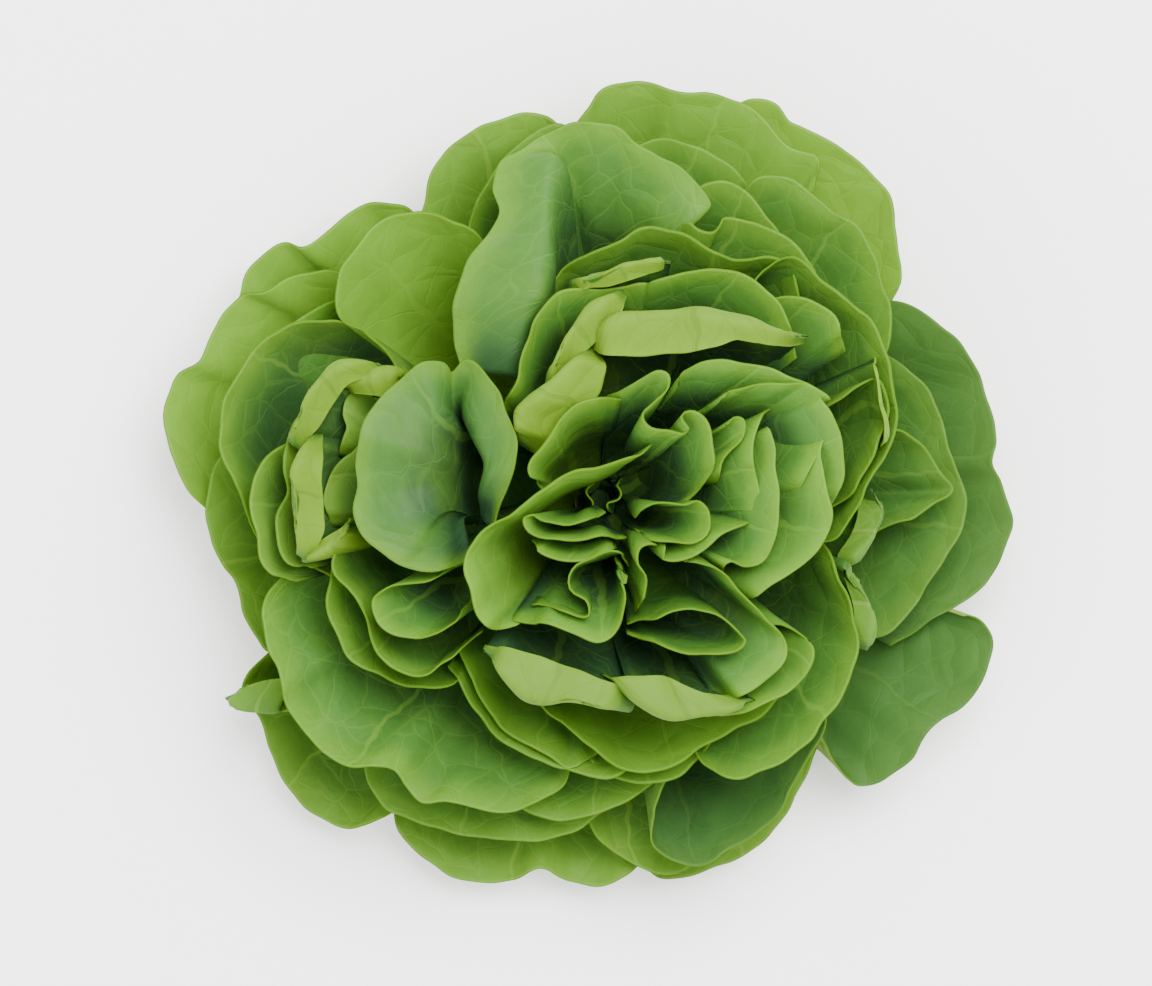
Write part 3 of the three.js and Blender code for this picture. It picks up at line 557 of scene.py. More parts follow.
            (46, 64, 86), (55, 72, 86), (62, 70, 86), (69, 63, 87), (76, 56, 88), (81.5, 49, 89),
            (85.5, 41, 90), (87.5, 33, 90), (87.5, 25, 90), (86, 17, 90), (83, 10.5, 89), (80, 4, 88),
            (76, -3, 87), (71, -9, 86), (66, -11.5, 86), (58, -13, 85),
        ),
    ),
    Leaf(
        "middle_leaf_east_inner", Cupped(0.3, 0.11), (
            (63, 22, 90), (69, 28.5, 91), (76, 33, 92), (82, 35, 92), (84, 28, 92), (83.5, 19, 92),
            (80.5, 10, 91), (75, 3, 90), (68, -3, 89),
        ),
    ),
    Leaf(
        "middle_leaf_east_folded", Turned(3), (
            (81, 42, 95), (82, 36, 96), (82.5, 29, 96), (83, 22, 95), (83, 16, 94),
        ), has_node=False, is_pale=True,
    ),
    Leaf(
        "side_leaf_west", Cupped(0.36, 0.12), (
            (-90, -23, 73), (-97, -22, 74), (-101.5, -17, 75), (-103.5, -9, 76), (-104.5, -1, 76),
            (-103.5, 5, 76), (-101, 10.5, 76), (-96, 15.5, 76), (-90, 19, 76),
        ),
    ),
    Leaf(
        "side_leaf_southwest", Cupped(0.36, 0.12), (
            (-86, -20, 78), (-92, -19, 79), (-95, -13, 80), (-95.5, -5, 80), (-93.5, 2, 80),
            (-95, 9, 80), (-94, 16, 79), (-91, 23, 78), (-86, 28, 78),
        ),
    ),
    Leaf(
        "side_leaf_northwest_turned", Folded(), (
            (-89.5, 16, 84), (-86.1, 19.3, 85.5), (-82.8, 22.5, 87), (-80.4, 26.6, 88.1),
            (-77.9, 30.5, 88.5), (-75.2, 34.4, 88.9), (-71.2, 36.5, 88), (-66.7, 37.6, 86.5),
            (-62, 38, 85),
        ), (
            (-89.5, 17, 85), (-89, 22.3, 86.9), (-87.2, 27.2, 88.8), (-84.8, 31.9, 90),
            (-81.2, 35.7, 90), (-77.2, 39.1, 90), (-72, 40.2, 88.8), (-66.9, 40.5, 86.9),
            (-61.8, 39, 85),
        ), is_pale=True,
    ),
    Leaf(
        "side_leaf_north_turned", Folded(), (
            (-75, 32, 84), (-72, 31.7, 84.4), (-69, 31.5, 84.8), (-66, 31.1, 84.6), (-63, 30.6, 83.8),
            (-60, 30, 83),
        ), (
            (-74.5, 33, 84), (-71.4, 34.7, 84.8), (-68.2, 36.4, 85.6), (-64.8, 37.3, 85.4),
            (-61.3, 37.8, 84.2), (-58, 36.5, 83),
        ), has_node=False, is_pale=True,
    ),
    Leaf(
        "side_leaf_pale_strip", Folded(), (
            (-86, -17, 83), (-83.7, -12.9, 84.5), (-82, -8.7, 86), (-82, -4, 87), (-82.3, 0.7, 88),
            (-82.6, 5.3, 88), (-82.4, 10, 88), (-82.6, 14.6, 86.5), (-83, 19.3, 85),
        ), (
            (-86.5, -16.5, 84), (-88, -11.9, 85.5), (-89.6, -7.3, 87), (-91, -2.7, 88.5),
            (-91.2, 2.2, 90), (-90.9, 7, 89.5), (-88.9, 11.4, 89), (-86.3, 15.4, 87.5), (-83, 19, 86),
        ), is_pale=True,
    ),
    Leaf(
        "side_leaf_south_turned", Folded(), (
            (-72, -4, 82), (-74.6, -6.2, 82.8), (-77.3, -8.5, 83.6), (-80.2, -10.2, 83.8),
            (-83.1, -12.1, 83.4), (-86, -14, 83),
        ), (
            (-72, -8, 82), (-74.1, -10.9, 82.8), (-76.3, -13.7, 83.6), (-79.4, -15.5, 83.6),
            (-82.6, -17, 82.8), (-86, -18, 82),
        ), has_node=False, is_pale=True,
    ),
    Leaf(
        "side_leaf_inner", Cupped(0.2, -0.04), (
            (-80, -8, 80), (-82, 0, 82), (-80, 7, 83), (-76, 13, 83), (-70, 17, 82),
        ), has_node=False,
    ),
    Leaf(
        "side_leaf_inner_crinkled", Cupped(0.2, -0.04), (
            (-78, 13, 80), (-76.5, 19, 81), (-75.5, 22, 82), (-76.5, 26, 82), (-75, 31, 81),
            (-69, 32, 80), (-63, 29, 79),
        ), has_node=False,
    ),
    Leaf(
        "heart_leaf_west_cup", Cupped(0.18, -0.03), (
            (-37, -29, 90), (-42, -34, 89), (-48, -38.5, 88), (-55, -41.5, 87), (-61, -40.5, 87),
            (-66, -36.5, 88), (-67.5, -31, 89), (-65, -28, 90), (-57, -25, 91), (-48, -22, 92),
            (-40, -19, 93),
        ),
    ),
    Leaf(
        "heart_leaf_northwest_thin", Cupped(0.18, -0.03), (
            (-31, 22, 94), (-28, 30, 95), (-24, 38, 96), (-20.5, 47, 96), (-18, 55, 96), (-14.5, 61, 95),
            (-8, 63, 95), (0, 62.5, 95), (7, 63, 95), (14, 64.5, 94), (20, 62, 94),
        ),
    ),
    Leaf(
        "heart_leaf_north_dark", Cupped(0.18, -0.03), (
            (45, 54, 90), (52, 60, 91), (59, 60.5, 91), (65, 57.5, 91), (70, 53, 91), (73, 45, 92),
        ), has_node=False,
    ),
    Leaf(
        "heart_leaf_north", Cupped(0.18, -0.03), (
            (6, 58, 96), (14, 64, 96), (22, 67, 96), (30, 68.5, 95), (37, 68, 95), (43, 66, 95),
            (49, 62.5, 94), (54, 57, 94), (57, 50, 95), (58, 42, 96),
        ),
    ),
    Leaf(
        "heart_leaf_southeast_ring", Cupped(0.18, -0.03), (
            (46, -33, 94), (52, -37, 95), (58, -38.5, 96), (63, -41.5, 97), (64, -46, 97), (61, -52, 96),
            (55, -57, 95), (47, -61, 94), (39, -64, 93), (31, -64, 93),
        ), has_node=False,
    ),
    Leaf(
        "heart_leaf_north_upper_turned", Folded(), (
            (-8, 62, 97), (-3.2, 62.3, 97.3), (1.6, 63, 97.7), (6.2, 64.4, 98), (10.8, 65.9, 97.3),
            (15.4, 67.5, 96.7), (20, 69, 96),
        ), (
            (-8, 63, 97), (-3.6, 65.2, 97.7), (0.9, 67, 98.3), (5.5, 68.6, 99), (10.3, 69.3, 98),
            (15.1, 69.4, 97), (20, 69.2, 96),
        ), has_node=False, is_pale=True,
    ),
    Leaf(
        "heart_leaf_folded", Folded(), (
            (-38, -17, 95), (-44, -20.5, 97), (-51, -21, 98), (-59, -19, 98), (-66, -15, 98),
            (-71, -10, 97), (-73, -4, 97), (-72, 3, 98), (-72.5, 11, 99), (-71, 20, 100), (-67, 28, 100),
            (-60, 35, 100), (-53, 40.5, 99), (-47, 41, 97), (-44, 38, 93), (-41, 41, 97), (-36, 39, 99),
            (-31, 34, 100), (-28, 28, 101), (-26, 20, 101), (-26, 12, 101), (-27.5, 4, 100),
            (-30, -3, 99), (-33, -9, 98),
        ), (
            (-40, -5, 86), (-43, -6, 87), (-44.3, -5.2, 89), (-45.5, -4.3, 92), (-46.8, -2.4, 93),
            (-47.6, 0.3, 93), (-48, 3.1, 94), (-48, 5.8, 95), (-48, 9.5, 96), (-47.6, 13.2, 96),
            (-47.2, 16.9, 96), (-45.9, 20.6, 95), (-44.7, 23.3, 93), (-43.4, 24.2, 87), (-43, 25, 84),
            (-42, 26, 85), (-41, 26, 87), (-39, 23, 90), (-37, 19, 91), (-36, 14, 92), (-35, 9, 92),
            (-35.5, 4, 91), (-36, 0, 90), (-37, -4, 88),
        ), tone=-0.3,
    ),
    Leaf(
        "heart_leaf_northwest_strip", Folded(), (
            (-16, 30, 100), (-12.3, 34.3, 100.4), (-8.7, 38.6, 100.9), (-5.1, 42.9, 101),
            (-1.1, 46.9, 101), (2.6, 51.2, 100.9), (5.9, 55.8, 100.4), (8, 61, 100),
        ), (
            (-14, 36, 101), (-14, 40.9, 101.9), (-12.2, 45.5, 102.7), (-9.6, 49.6, 103),
            (-6.4, 53.3, 103), (-2.7, 56.4, 102.7), (1.6, 58.8, 101.9), (6, 61, 101),
        ), has_node=False, is_pale=True,
    ),
    Leaf(
        "heart_leaf_south_pale", Folded(), (
            (10, -56, 101), (4.5, -54.2, 102.1), (-0.9, -52.4, 103.2), (-6.4, -50.4, 104.1),
            (-11.7, -48.1, 104.5), (-17.1, -46.1, 104.9), (-22.6, -44.5, 104.5), (-28.3, -43.5, 103.8),
            (-34, -43, 103),
        ), (
            (8, -60, 101), (1.8, -61.2, 101.8), (-4.4, -61.1, 102.5), (-10.7, -60.5, 103.1),
            (-16.9, -60.2, 103.5), (-22.8, -58.3, 103.9), (-27.1, -54, 103.6), (-30.7, -48.9, 103.1),
            (-34, -43.5, 102.5),
        ), tone=-0.35, is_pale=True,
    ),
    Leaf(
        "heart_leaf_southeast_pale", Folded(), (
            (40, -60, 100), (35.1, -58.4, 100.8), (30.1, -56.7, 101.5), (25.4, -54.7, 102.2),
            (20.6, -52.7, 103), (15.6, -51.5, 103.8), (10.4, -51.5, 104), (5.2, -51.7, 104),
            (0, -52, 104),
        ), (
            (46, -57, 100), (41.5, -59.6, 100.4), (36.7, -61.9, 100.8), (31.9, -63.8, 101.1),
            (26.8, -65, 101.5), (21.6, -64.8, 101.9), (16.7, -62.8, 102), (12.3, -60, 102),
            (8, -57, 102),
        ), tone=-0.35, is_pale=True,
    ),
    Leaf(
        "heart_leaf_north_pale", Folded(), (
            (-5, 45.5, 103), (1.2, 43.3, 104.2), (7.8, 42.5, 105.4), (14.5, 42.5, 106.4),
            (21.1, 42.9, 107.2), (27.6, 43.8, 108), (34.1, 45.4, 107.6), (40.4, 47.2, 107.2),
            (46.9, 46.1, 106.4), (53.4, 45.4, 105.2), (60, 46.2, 104),
        ), (
            (-4, 46.5, 103), (1.1, 51.1, 104.2), (6.6, 55, 105.4), (13.3, 56, 106.3),
            (20.2, 56.5, 106.9), (27.1, 56.5, 107.5), (33.5, 54.7, 107.1), (40, 52.5, 106.7),
            (46.7, 51, 106), (53.3, 49.2, 105), (60, 47.5, 104),
        ), is_pale=True,
    ),
    Leaf(
        "heart_leaf_northwest_pale", Folded(), (
            (-18.5, 13.5, 98), (-15.5, 17.5, 98.5), (-12, 21.5, 99), (-8, 25, 99.5), (-4, 28, 100),
            (-0.5, 31.5, 101), (1, 35.5, 102.4), (1.5, 39.5, 103.3), (0, 43, 104),
        ), (
            (-25, 17, 101), (-25.5, 21.6, 102.1), (-25.1, 26.3, 103.2), (-21.7, 29.2, 104.2),
            (-17.9, 31.9, 105), (-14.6, 35.2, 105.8), (-11.6, 38.7, 105.8), (-8, 41.6, 105.4),
            (-4, 44, 105),
        ), is_pale=True,
    ),
    Leaf(
        "heart_leaf_east_ring", Cupped(0.1, -0.11), (
            (63, 32, 104), (66, 29, 104), (69, 25, 104), (71.5, 18, 103), (72, 11, 102), (71, 4, 101),
            (68, -2, 100),
        ), has_node=False,
    ),
    Leaf(
        "heart_leaf_east_bright", Cupped(0.1, -0.11), (
            (71, 21, 100), (66.5, 20, 102), (65, 15, 103), (66, 8, 103), (68, 1, 103), (68.5, -5, 103),
            (66.5, -11, 103), (62, -17, 103), (56, -21.5, 102), (50, -26, 101), (44, -29.5, 100),
            (38, -30, 98),
        ), tone=0.2,
    ),
    Leaf(
        "heart_leaf_west_ring", Cupped(0.12, -0.11), (
            (-22, -36, 100), (-30, -38.5, 101), (-35, -36, 102), (-38.5, -29, 103), (-40, -21, 104),
            (-38, -14.5, 105), (-32, -8, 106), (-24, -1.5, 107), (-16, 3.5, 108), (-8, 7.5, 109),
            (0, 10.5, 109), (8, 12.5, 109), (14, 14, 109), (18, 16, 108),
        ), tone=0.45,
    ),
    Leaf(
        "heart_leaf_south_cup", Cupped(0.1, -0.11), (
            (21, -15, 100), (27, -18.5, 102), (34, -21, 103), (41, -25.5, 103), (47, -31.5, 103),
            (52, -38, 103), (54.5, -44, 103), (52.5, -49.5, 103), (47, -54.5, 102), (41, -58.5, 102),
            (34, -60, 101),
        ),
    ),
    Leaf(
        "heart_leaf_northeast", Cupped(0.1, -0.11), (
            (19, 30, 103), (23, 36.5, 105), (28, 40.5, 106), (35, 42, 107), (42, 40.5, 107),
            (50, 38.5, 107), (57, 36, 106), (63, 33.5, 105), (68, 30.5, 104), (66, 26, 103),
        ),
    ),
    Leaf(
        "heart_leaf_northwest_lens", Cupped(0.12, -0.08), (
            (-16, 4, 104), (-21, 7.5, 105), (-20.5, 12.5, 106), (-16, 19, 107), (-10, 25, 108),
            (-3, 29.5, 108), (6, 30.5, 108),
        ), tone=0.35,
    ),
    Leaf(
        "heart_leaf_east_broad", Cupped(0.1, -0.11), (
            (29, 24, 104), (35, 29.5, 106), (42, 33, 107), (50, 35, 107), (58, 35, 106),
            (63.5, 32.5, 105), (66, 27, 104), (65.5, 19, 103), (63, 11, 102), (59, 4, 101), (54, -1, 99),
        ),
    ),
    Leaf(
        "heart_leaf_southwest", Cupped(0.1, -0.11), (
            (4, -18, 102), (7, -23, 103), (7.5, -29, 104), (6, -35, 104), (3, -40, 104), (-1, -42, 104),
            (-6, -40.5, 104), (-12, -37.5, 103), (-19, -35.5, 102), (-27, -35.5, 101),
        ),
    ),
    Leaf(
        "heart_leaf_east_serpent", Cupped(0.1, -0.11), (
            (46, 16, 105), (49, 22, 106), (51, 17, 106), (51.5, 10, 106), (53, 3, 106), (53, -5, 106),
            (51.5, -12, 106), (48, -17, 105), (43, -19, 105), (39, -18, 105), (36.5, -20, 104),
            (38, -25, 102),
        ),
    ),
    Leaf(
        "heart_leaf_squiggle", Cupped(0.1, -0.11), (
            (2, 31, 107), (9, 34, 109), (15, 37, 110), (19.5, 37, 110), (19.5, 33.5, 110),
            (15.5, 29, 110), (13, 25.5, 110), (15, 22, 109), (20, 20.5, 109), (25, 19, 109),
            (27, 21, 109), (25, 24.5, 109), (28, 25.5, 109), (31.5, 22.5, 109), (34, 16, 109),
            (33.5, 9.5, 108), (29.5, 4, 107), (23, -1, 105),
        ),
    ),
    Leaf(
        "heart_leaf_eye", Cupped(0.34, 0.16), (
            (8, -37, 102), (14, -34, 103), (21, -32.8, 104), (28, -33, 104), (35, -35, 104),
            (41, -38.5, 104), (43, -41.5, 104), (40, -43.8, 104), (33, -44, 104), (24, -43.5, 103),
            (15, -42.5, 102), (8, -39.5, 101),
        ),
    ),
    Leaf(
        "heart_leaf_east_crescent", Cupped(0.1, -0.11), (
            (51, 29, 104), (47.5, 23, 105), (46, 17, 106), (45.5, 10, 106), (46, 3, 105),
            (46.5, -3, 104), (43, -7, 102),
        ), has_node=False,
    ),
    Leaf(
        "heart_leaf_east_loop", Cupped(0.1, -0.11), (
            (33, 17, 106), (36.5, 21.5, 107), (40, 24, 108), (42.5, 23, 108), (41.5, 19, 107),
            (38, 14.5, 106), (35.5, 9.5, 105), (35, 4, 103),
        ), has_node=False,
    ),
    Leaf(
        "heart_leaf_centre_loop", Cupped(0.1, -0.11), (
            (11, -5.5, 106), (15, -2, 107), (20, -0.5, 107), (25, -1.2, 107), (29, 0, 107),
            (32, -3.5, 107), (31.5, -9, 106), (27, -11.3, 106), (21, -12, 106), (15.5, -12, 105),
            (11, -9, 104),
        ),
    ),
    Leaf(
        "heart_leaf_southeast_small", Cupped(0.1, -0.11), (
            (48, -4.5, 103), (41, -8, 104), (35, -11.5, 105), (29, -15, 105), (23.5, -16.8, 105),
            (19.5, -16, 104), (18, -13, 102),
        ), has_node=False,
    ),
    Leaf(
        "heart_leaf_centre_fold", Cupped(0.1, -0.11), (
            (8, -11, 104), (2, -12, 105), (-6, -12.3, 105), (-14, -11, 105), (-21, -9, 104),
            (-23, -5.5, 104), (-20, -3.8, 104), (-16.5, -6.5, 105), (-9, -8.5, 105), (-3, -7.5, 105),
            (1.5, -3.5, 104),
        ), has_node=False,
    ),
    Leaf(
        "heart_leaf_centre_crinkle", Cupped(0.1, -0.11), (
            (5, -14, 103), (0, -17, 103), (-6, -18.5, 103), (-12, -17.5, 103), (-17, -14.5, 103),
            (-20.5, -11.5, 103),
        ), has_node=False,
    ),
    Leaf(
        "heart_leaf_centre_wave", Cupped(0.3, 0.14), (
            (-20, -32, 101), (-13, -32.5, 102), (-7, -34.5, 103), (-3.5, -34, 104), (-4, -29.5, 104),
            (-7.5, -25.5, 104), (-6.5, -21, 104), (-2, -17.5, 104), (3, -15, 104), (7, -15.5, 103),
            (8, -20, 102),
        ), has_node=False,
    ),
    Leaf(
        "heart_leaf_centre_hook", Cupped(0.1, -0.11), (
            (20, -13.5, 103), (15.5, -12.8, 104), (12, -14.5, 104), (11.2, -18.5, 104), (12.3, -23, 103),
            (11.5, -28, 102), (10, -33.5, 100),
        ), has_node=False,
    ),
    Leaf(
        "heart_leaf_bud_west", Cupped(0.16, 0), (
            (-5, -4, 80), (-2.5, -1, 83), (-3.5, 2.5, 84), (-0.5, 4.5, 84), (0.5, 8, 82),
        ), has_node=False, tone=-0.4,
    ),
    Leaf(
        "heart_leaf_bud_east", Cupped(0.16, 0), (
            (7, 6, 80), (4, 4.5, 83), (5, 1.5, 84), (2, -1, 84), (3.5, -4.5, 82),
        ), has_node=False, tone=-0.4,
    ),
)


# ---------------------------------------------------------------- node writing

Value = Union[float, "Wire", Colour]


class Wire:
    """One output socket, with arithmetic that adds Math nodes."""

    def __init__(self, board: "Board", socket: bpy.types.NodeSocket) -> None:
        """Keep the socket and the board it is on."""
        self.board = board
        self.socket = socket

    def _math(self, operation: str, first: Value, second: Value) -> "Wire":
        """A Math node on two values."""
        settings = {"operation": operation}
        return self.board.node("ShaderNodeMath", settings, {0: first, 1: second})[0]

    def __add__(self, other: Value) -> "Wire":
        """Sum."""
        return self._math("ADD", self, other)

    def __sub__(self, other: Value) -> "Wire":
        """Difference."""
        return self._math("SUBTRACT", self, other)

    def __rsub__(self, other: Value) -> "Wire":
        """Difference from a number."""
        return self._math("SUBTRACT", other, self)

    def __mul__(self, other: Value) -> "Wire":
        """Product."""
        return self._math("MULTIPLY", self, other)

    def __truediv__(self, other: Value) -> "Wire":
        """Quotient."""
        return self._math("DIVIDE", self, other)

    __radd__ = __add__
    __rmul__ = __mul__

    def __abs__(self) -> "Wire":
        """Size without sign."""
        return self._math("ABSOLUTE", self, 0.0)

    def over(self, other: Value) -> "Wire":
        """The larger of two values."""
        return self._math("MAXIMUM", self, other)

    def fraction(self) -> "Wire":
        """What is left over a whole number."""
        return self._math("FRACT", self, 0.0)


class Outputs:
    """A node's outputs, read by number or by name."""

    def __init__(self, board: "Board", node: bpy.types.Node) -> None:
        """Keep the node and the board it is on."""
        self.board = board
        self.node = node

    def __getitem__(self, key: Union[int, str]) -> Wire:
        """One output as a wire."""
        return Wire(self.board, self.node.outputs[key])


class Board:
    """The node tree of one material."""

    def __init__(self, name: str) -> None:
        """Make the material and clear its tree."""
        self.material = bpy.data.materials.new(name)
        self.material.use_nodes = True
        self.tree = self.material.node_tree
        self.tree.nodes.clear()

    def node(self, kind: str, settings: dict, inputs: dict) -> Outputs:
        """Add one node.

        Args:
            kind: The node's type.
            settings: Its own settings, set first.
            inputs: Values or wires, by socket number or name.

        Returns:
            The node's outputs.
        """
        node = self.tree.nodes.new(kind)
        for key, value in settings.items():
            setattr(node, key, value)
        for key, value in inputs.items():
            if isinstance(value, Wire):
                self.tree.links.new(value.socket, node.inputs[key])
            elif isinstance(value, tuple) and node.inputs[key].type == "RGBA":
                node.inputs[key].default_value = (*value, 1.0)
            else:
                node.inputs[key].default_value = value
        return Outputs(self, node)

    def mix(self, factor: Value, first: Value, second: Value) -> Wire:
        """A colour between two, by a factor."""
        settings = {"data_type": "RGBA", "clamp_factor": True}
        return self.node("ShaderNodeMix", settings, {0: factor, 6: first, 7: second})[2]

    def step(self, value: Value, low: float, high: float) -> Wire:
        """A smooth step from 0 at low to 1 at high."""
        settings = {"interpolation_type": "SMOOTHSTEP"}
        inputs = {"Value": value, "From Min": low, "From Max": high}
        return self.node("ShaderNodeMapRange", settings, inputs)[0]

    def noise(self, where: Wire, size: float, output: str = "Fac", detail: float = 3.0) -> Wire:
        """Soft noise from 0 to 1, with patches of a size in the coordinates' units."""
        inputs = {"Vector": where, "Scale": 1 / size, "Detail": detail}
        return self.node("ShaderNodeTexNoise", {}, inputs)[output]

    def cell_edge(self, where: Wire, size: float) -> Wire:
        """Distance to the nearest edge of cells of a size, in the coordinates' units."""
        settings = {"feature": "DISTANCE_TO_EDGE"}
        inputs = {"Vector": where, "Scale": 1 / size, "Randomness": 0.9}
        return self.node("ShaderNodeTexVoronoi", settings, inputs)["Distance"] * size

    def attribute(self, name: str) -> Wire:
        """A number stored on the mesh."""
        return self.node("ShaderNodeAttribute", {"attribute_name": name}, {})["Fac"]

    def vector_math(self, operation: str, first: Value, second: Value) -> Wire:
        """A Vector Math node on two vectors."""
        settings = {"operation": operation}
        return self.node("ShaderNodeVectorMath", settings, {0: first, 1: second})[0]

    def bump(self, height: Wire, strength: float = 1.0) -> Wire:
        """A normal bent by a height in millimetres."""
        inputs = {"Strength": strength, "Distance": MM, "Height": height}
        return self.node("ShaderNodeBump", {}, inputs)[0]

    def surface(self, inputs: dict) -> None:
        """End the tree in one Principled shader with these inputs."""
        shader = self.node("ShaderNodeBsdfPrincipled", {}, inputs)
        self.node("ShaderNodeOutputMaterial", {}, {"Surface": shader["BSDF"]})


# ---------------------------------------------------------------- finishes


@dataclass(frozen=True)
class BladeFinish:
    """The look of one side of a leaf. Lengths are millimetres along the blade.

    The colour runs from flesh at the rim to the deep colour near the stem, which on the upper sides is
    mostly painted shade for the crevices between the leaves, and has a brighter margin on the rim that is
    partly the paler leaf margin and partly a painted highlight where the rim catches the light.
    """

    name: str
    deep_and_shade: Colour
    flesh: Colour
    margin_and_light: Colour
    vein: Colour
    vein_strength: float
    puff: float
    roughness: float
    dark_from: float
    dark_by: float
    margin_width: float
    cell: float = 13.0
    fine_cell: float = 4.5
    lateral_spacing: float = 21.0
    lateral_slant: float = 0.75
    midrib_width: float = 1.1
    midrib_end: float = 1.15
    lateral_end: float = 1.3
    lateral_strength: float = 0.9
    net_strength: float = 0.42
    fine_strength: float = 0.14
    wander_size: float = 16.0
    wander_by: float = 9.0
    patch_size: float = 30.0
    patch_strength: float = 0.3
    speckle_size: float = 2.2
    speckle_strength: float = 0.22
    margin_strength: float = 0.75
    margin_wander: float = 10.0
    puff_slope: float = 3.5
    speckle_height: float = 0.05
    vein_depth: float = 0.12
    roughness_spread: float = 0.14
    refraction: float = 1.42
    scatter: float = 0.08
    scatter_radius: Point = (0.9, 1.0, 0.25)
    sheen: float = 0.14

    def veins(self, board: Board, blade: Wire, along: Wire) -> tuple[Wire, Wire]:
        """The vein network.

        Args:
            board: The material's tree.
            blade: Coordinates on the blade, midrib at zero.
            along: 0 at the stem to 1 at the rim.

        Returns:
            A mask of the veins, and the distance in millimetres to the nearest vein of the net.
        """
        wander = board.noise(blade, self.wander_size, "Color", 2.0)
        shift = board.vector_math("SUBTRACT", wander, (0.5, 0.5, 0.5))
        push = board.vector_math("MULTIPLY", shift, (self.wander_by, self.wander_by, 0.0))
        bent = board.vector_math("ADD", blade, push)
        place = board.node("ShaderNodeSeparateXYZ", {}, {0: bent})
        aside = abs(place["X"])
        midrib = aside - self.midrib_width * (self.midrib_end - along)
        climb = (place["Y"] - aside * self.lateral_slant) / self.lateral_spacing
        lateral = abs(climb.fraction() - 0.5) * self.lateral_spacing
        cells = board.cell_edge(bent, self.cell)
        fine = board.cell_edge(bent, self.fine_cell)
        large = 1 - board.step(midrib, 0.0, 0.7)
        middle = (1 - board.step(lateral, 0.1, 0.6)) * (self.lateral_end - along)
        net = 1 - board.step(cells, 0.05, 0.5)
        small = 1 - board.step(fine, 0.05, 0.4)
        mask = large.over(middle * self.lateral_strength)
        return mask.over(net * self.net_strength).over(small * self.fine_strength), cells

    def board(self) -> Board:
        """The finish as a material tree."""
        board = Board(self.name)
        blade = board.node("ShaderNodeUVMap", {"uv_map": "blade"}, {})[0]
        to_rim = board.attribute("to_rim")
        tone = board.attribute("tone")
        mask, cells = self.veins(board, blade, board.attribute("along"))
        patches = board.noise(blade, self.patch_size)
        speckle = board.noise(blade, self.speckle_size)
        # Painted shade: darker from flesh towards the deep colour down the blade to the stem, standing in
        # for the shade between the leaves.
        body = board.mix(board.step(to_rim, self.dark_from, self.dark_by), self.flesh, self.deep_and_shade)
        # A brighter band along the rim: partly the paler leaf margin, partly a painted highlight where the
        # rim catches the light.
        ragged = to_rim + (patches - 0.5) * self.margin_wander
        near = 1 - board.step(ragged, 0.0, self.margin_width)
        body = board.mix(near * self.margin_strength, body, self.margin_and_light)
        bright = board.step(patches, 0.45, 0.75) * self.patch_strength
        body = board.mix(bright, body, self.margin_and_light)
        body = board.mix((1 - speckle) * self.speckle_strength, body, self.deep_and_shade)
        body = board.mix(mask * self.vein_strength, body, self.vein)
        # Painted light and shade per leaf, from the stored attribute: lighter above 0, darker below 0.
        body = board.mix(board.step(tone, 0.0, 1.0), body, self.margin_and_light)
        body = board.mix(board.step(0.0 - tone, 0.0, 1.0), body, self.deep_and_shade)
        relief = board.step(cells, 0.0, self.puff_slope) * self.puff
        relief = relief + speckle * self.speckle_height - mask * self.vein_depth
        board.surface(
            {
                "Base Color": body,
                "Roughness": self.roughness + (speckle - 0.5) * self.roughness_spread,
                "Normal": board.bump(relief),
                "IOR": self.refraction,
                "Specular IOR Level": self.sheen,
                "Subsurface Weight": self.scatter,
                "Subsurface Radius": self.scatter_radius,
                "Subsurface Scale": MM,
            }
        )
        return board


@dataclass(frozen=True)
class StemFinish:
    """The look of the cut stem. Lengths are metres on the stem."""

    flesh: Colour = (0.62, 0.66, 0.36)
    cut: Colour = (0.7, 0.62, 0.36)
    ring: Colour = (0.4, 0.24, 0.1)
    tip: Colour = (0.01, 0.03, 0.006)
    sheen: float = 0.1
    cut_top: float = 1.6 * MM
    tip_from: float = 30 * MM
    tip_by: float = 55 * MM
    ring_from: float = 9 * MM
    ring_by: float = 14 * MM

    def board(self) -> Board:
        """The finish as a material tree."""
        board = Board("stem_flesh")
        where = board.node("ShaderNodeTexCoord", {}, {})["Object"]
        place = board.node("ShaderNodeSeparateXYZ", {}, {0: where})
        out = board.node("ShaderNodeVectorMath", {"operation": "LENGTH"}, {0: where})["Value"]
        grain = board.noise(where, 2 * MM)
        low = 1 - board.step(place["Z"], 0.2 * MM, self.cut_top)
        high = board.step(place["Z"], self.tip_from, self.tip_by)
        ring = board.step(out, self.ring_from, self.ring_by)
        face = board.mix(ring * grain, self.cut, self.ring)
        side = board.mix(high, board.mix(grain * 0.4, self.flesh, self.cut), self.tip)
        board.surface(
            {
                "Base Color": board.mix(low, side, face),
                "Roughness": 0.6 + grain * 0.15,
                "Specular IOR Level": self.sheen,
                "Normal": board.bump(grain, 0.6),
            }
        )
        return board


@dataclass(frozen=True)
class EdgeFinish:
    """The thin edge of a leaf: its own green at the rim, darkened with painted shade on the way down to the
    stem.
    """

    rim: Colour = (0.06, 0.13, 0.008)
    deep_and_shade: Colour = (0.008, 0.034, 0.008)
    roughness: float = 0.9

    def board(self) -> Board:
        """The finish as a material tree."""
        board = Board("leaf_edge")
        # Painted shade: darker down the edge, away from the rim.
        near_rim = board.step(board.attribute("along"), 0.86, 0.99)
        board.surface(
            {
                "Base Color": board.mix(near_rim, self.deep_and_shade, self.rim),
                "Roughness": self.roughness,
                "Specular IOR Level": 0.0,
            }
        )
        return board


@dataclass(frozen=True)
class FloorFinish:
    """The look of the floor."""

    colour: Colour = (0.97, 0.97, 0.97)
    roughness: float = 0.8
    sheen: float = 0.3

    def board(self) -> Board:
        """The finish as a material tree."""
        board = Board("pale_floor")
        board.surface(
            {
                "Base Color": self.colour,
                "Roughness": self.roughness,
                "Specular IOR Level": self.sheen,
            }
        )
        return board
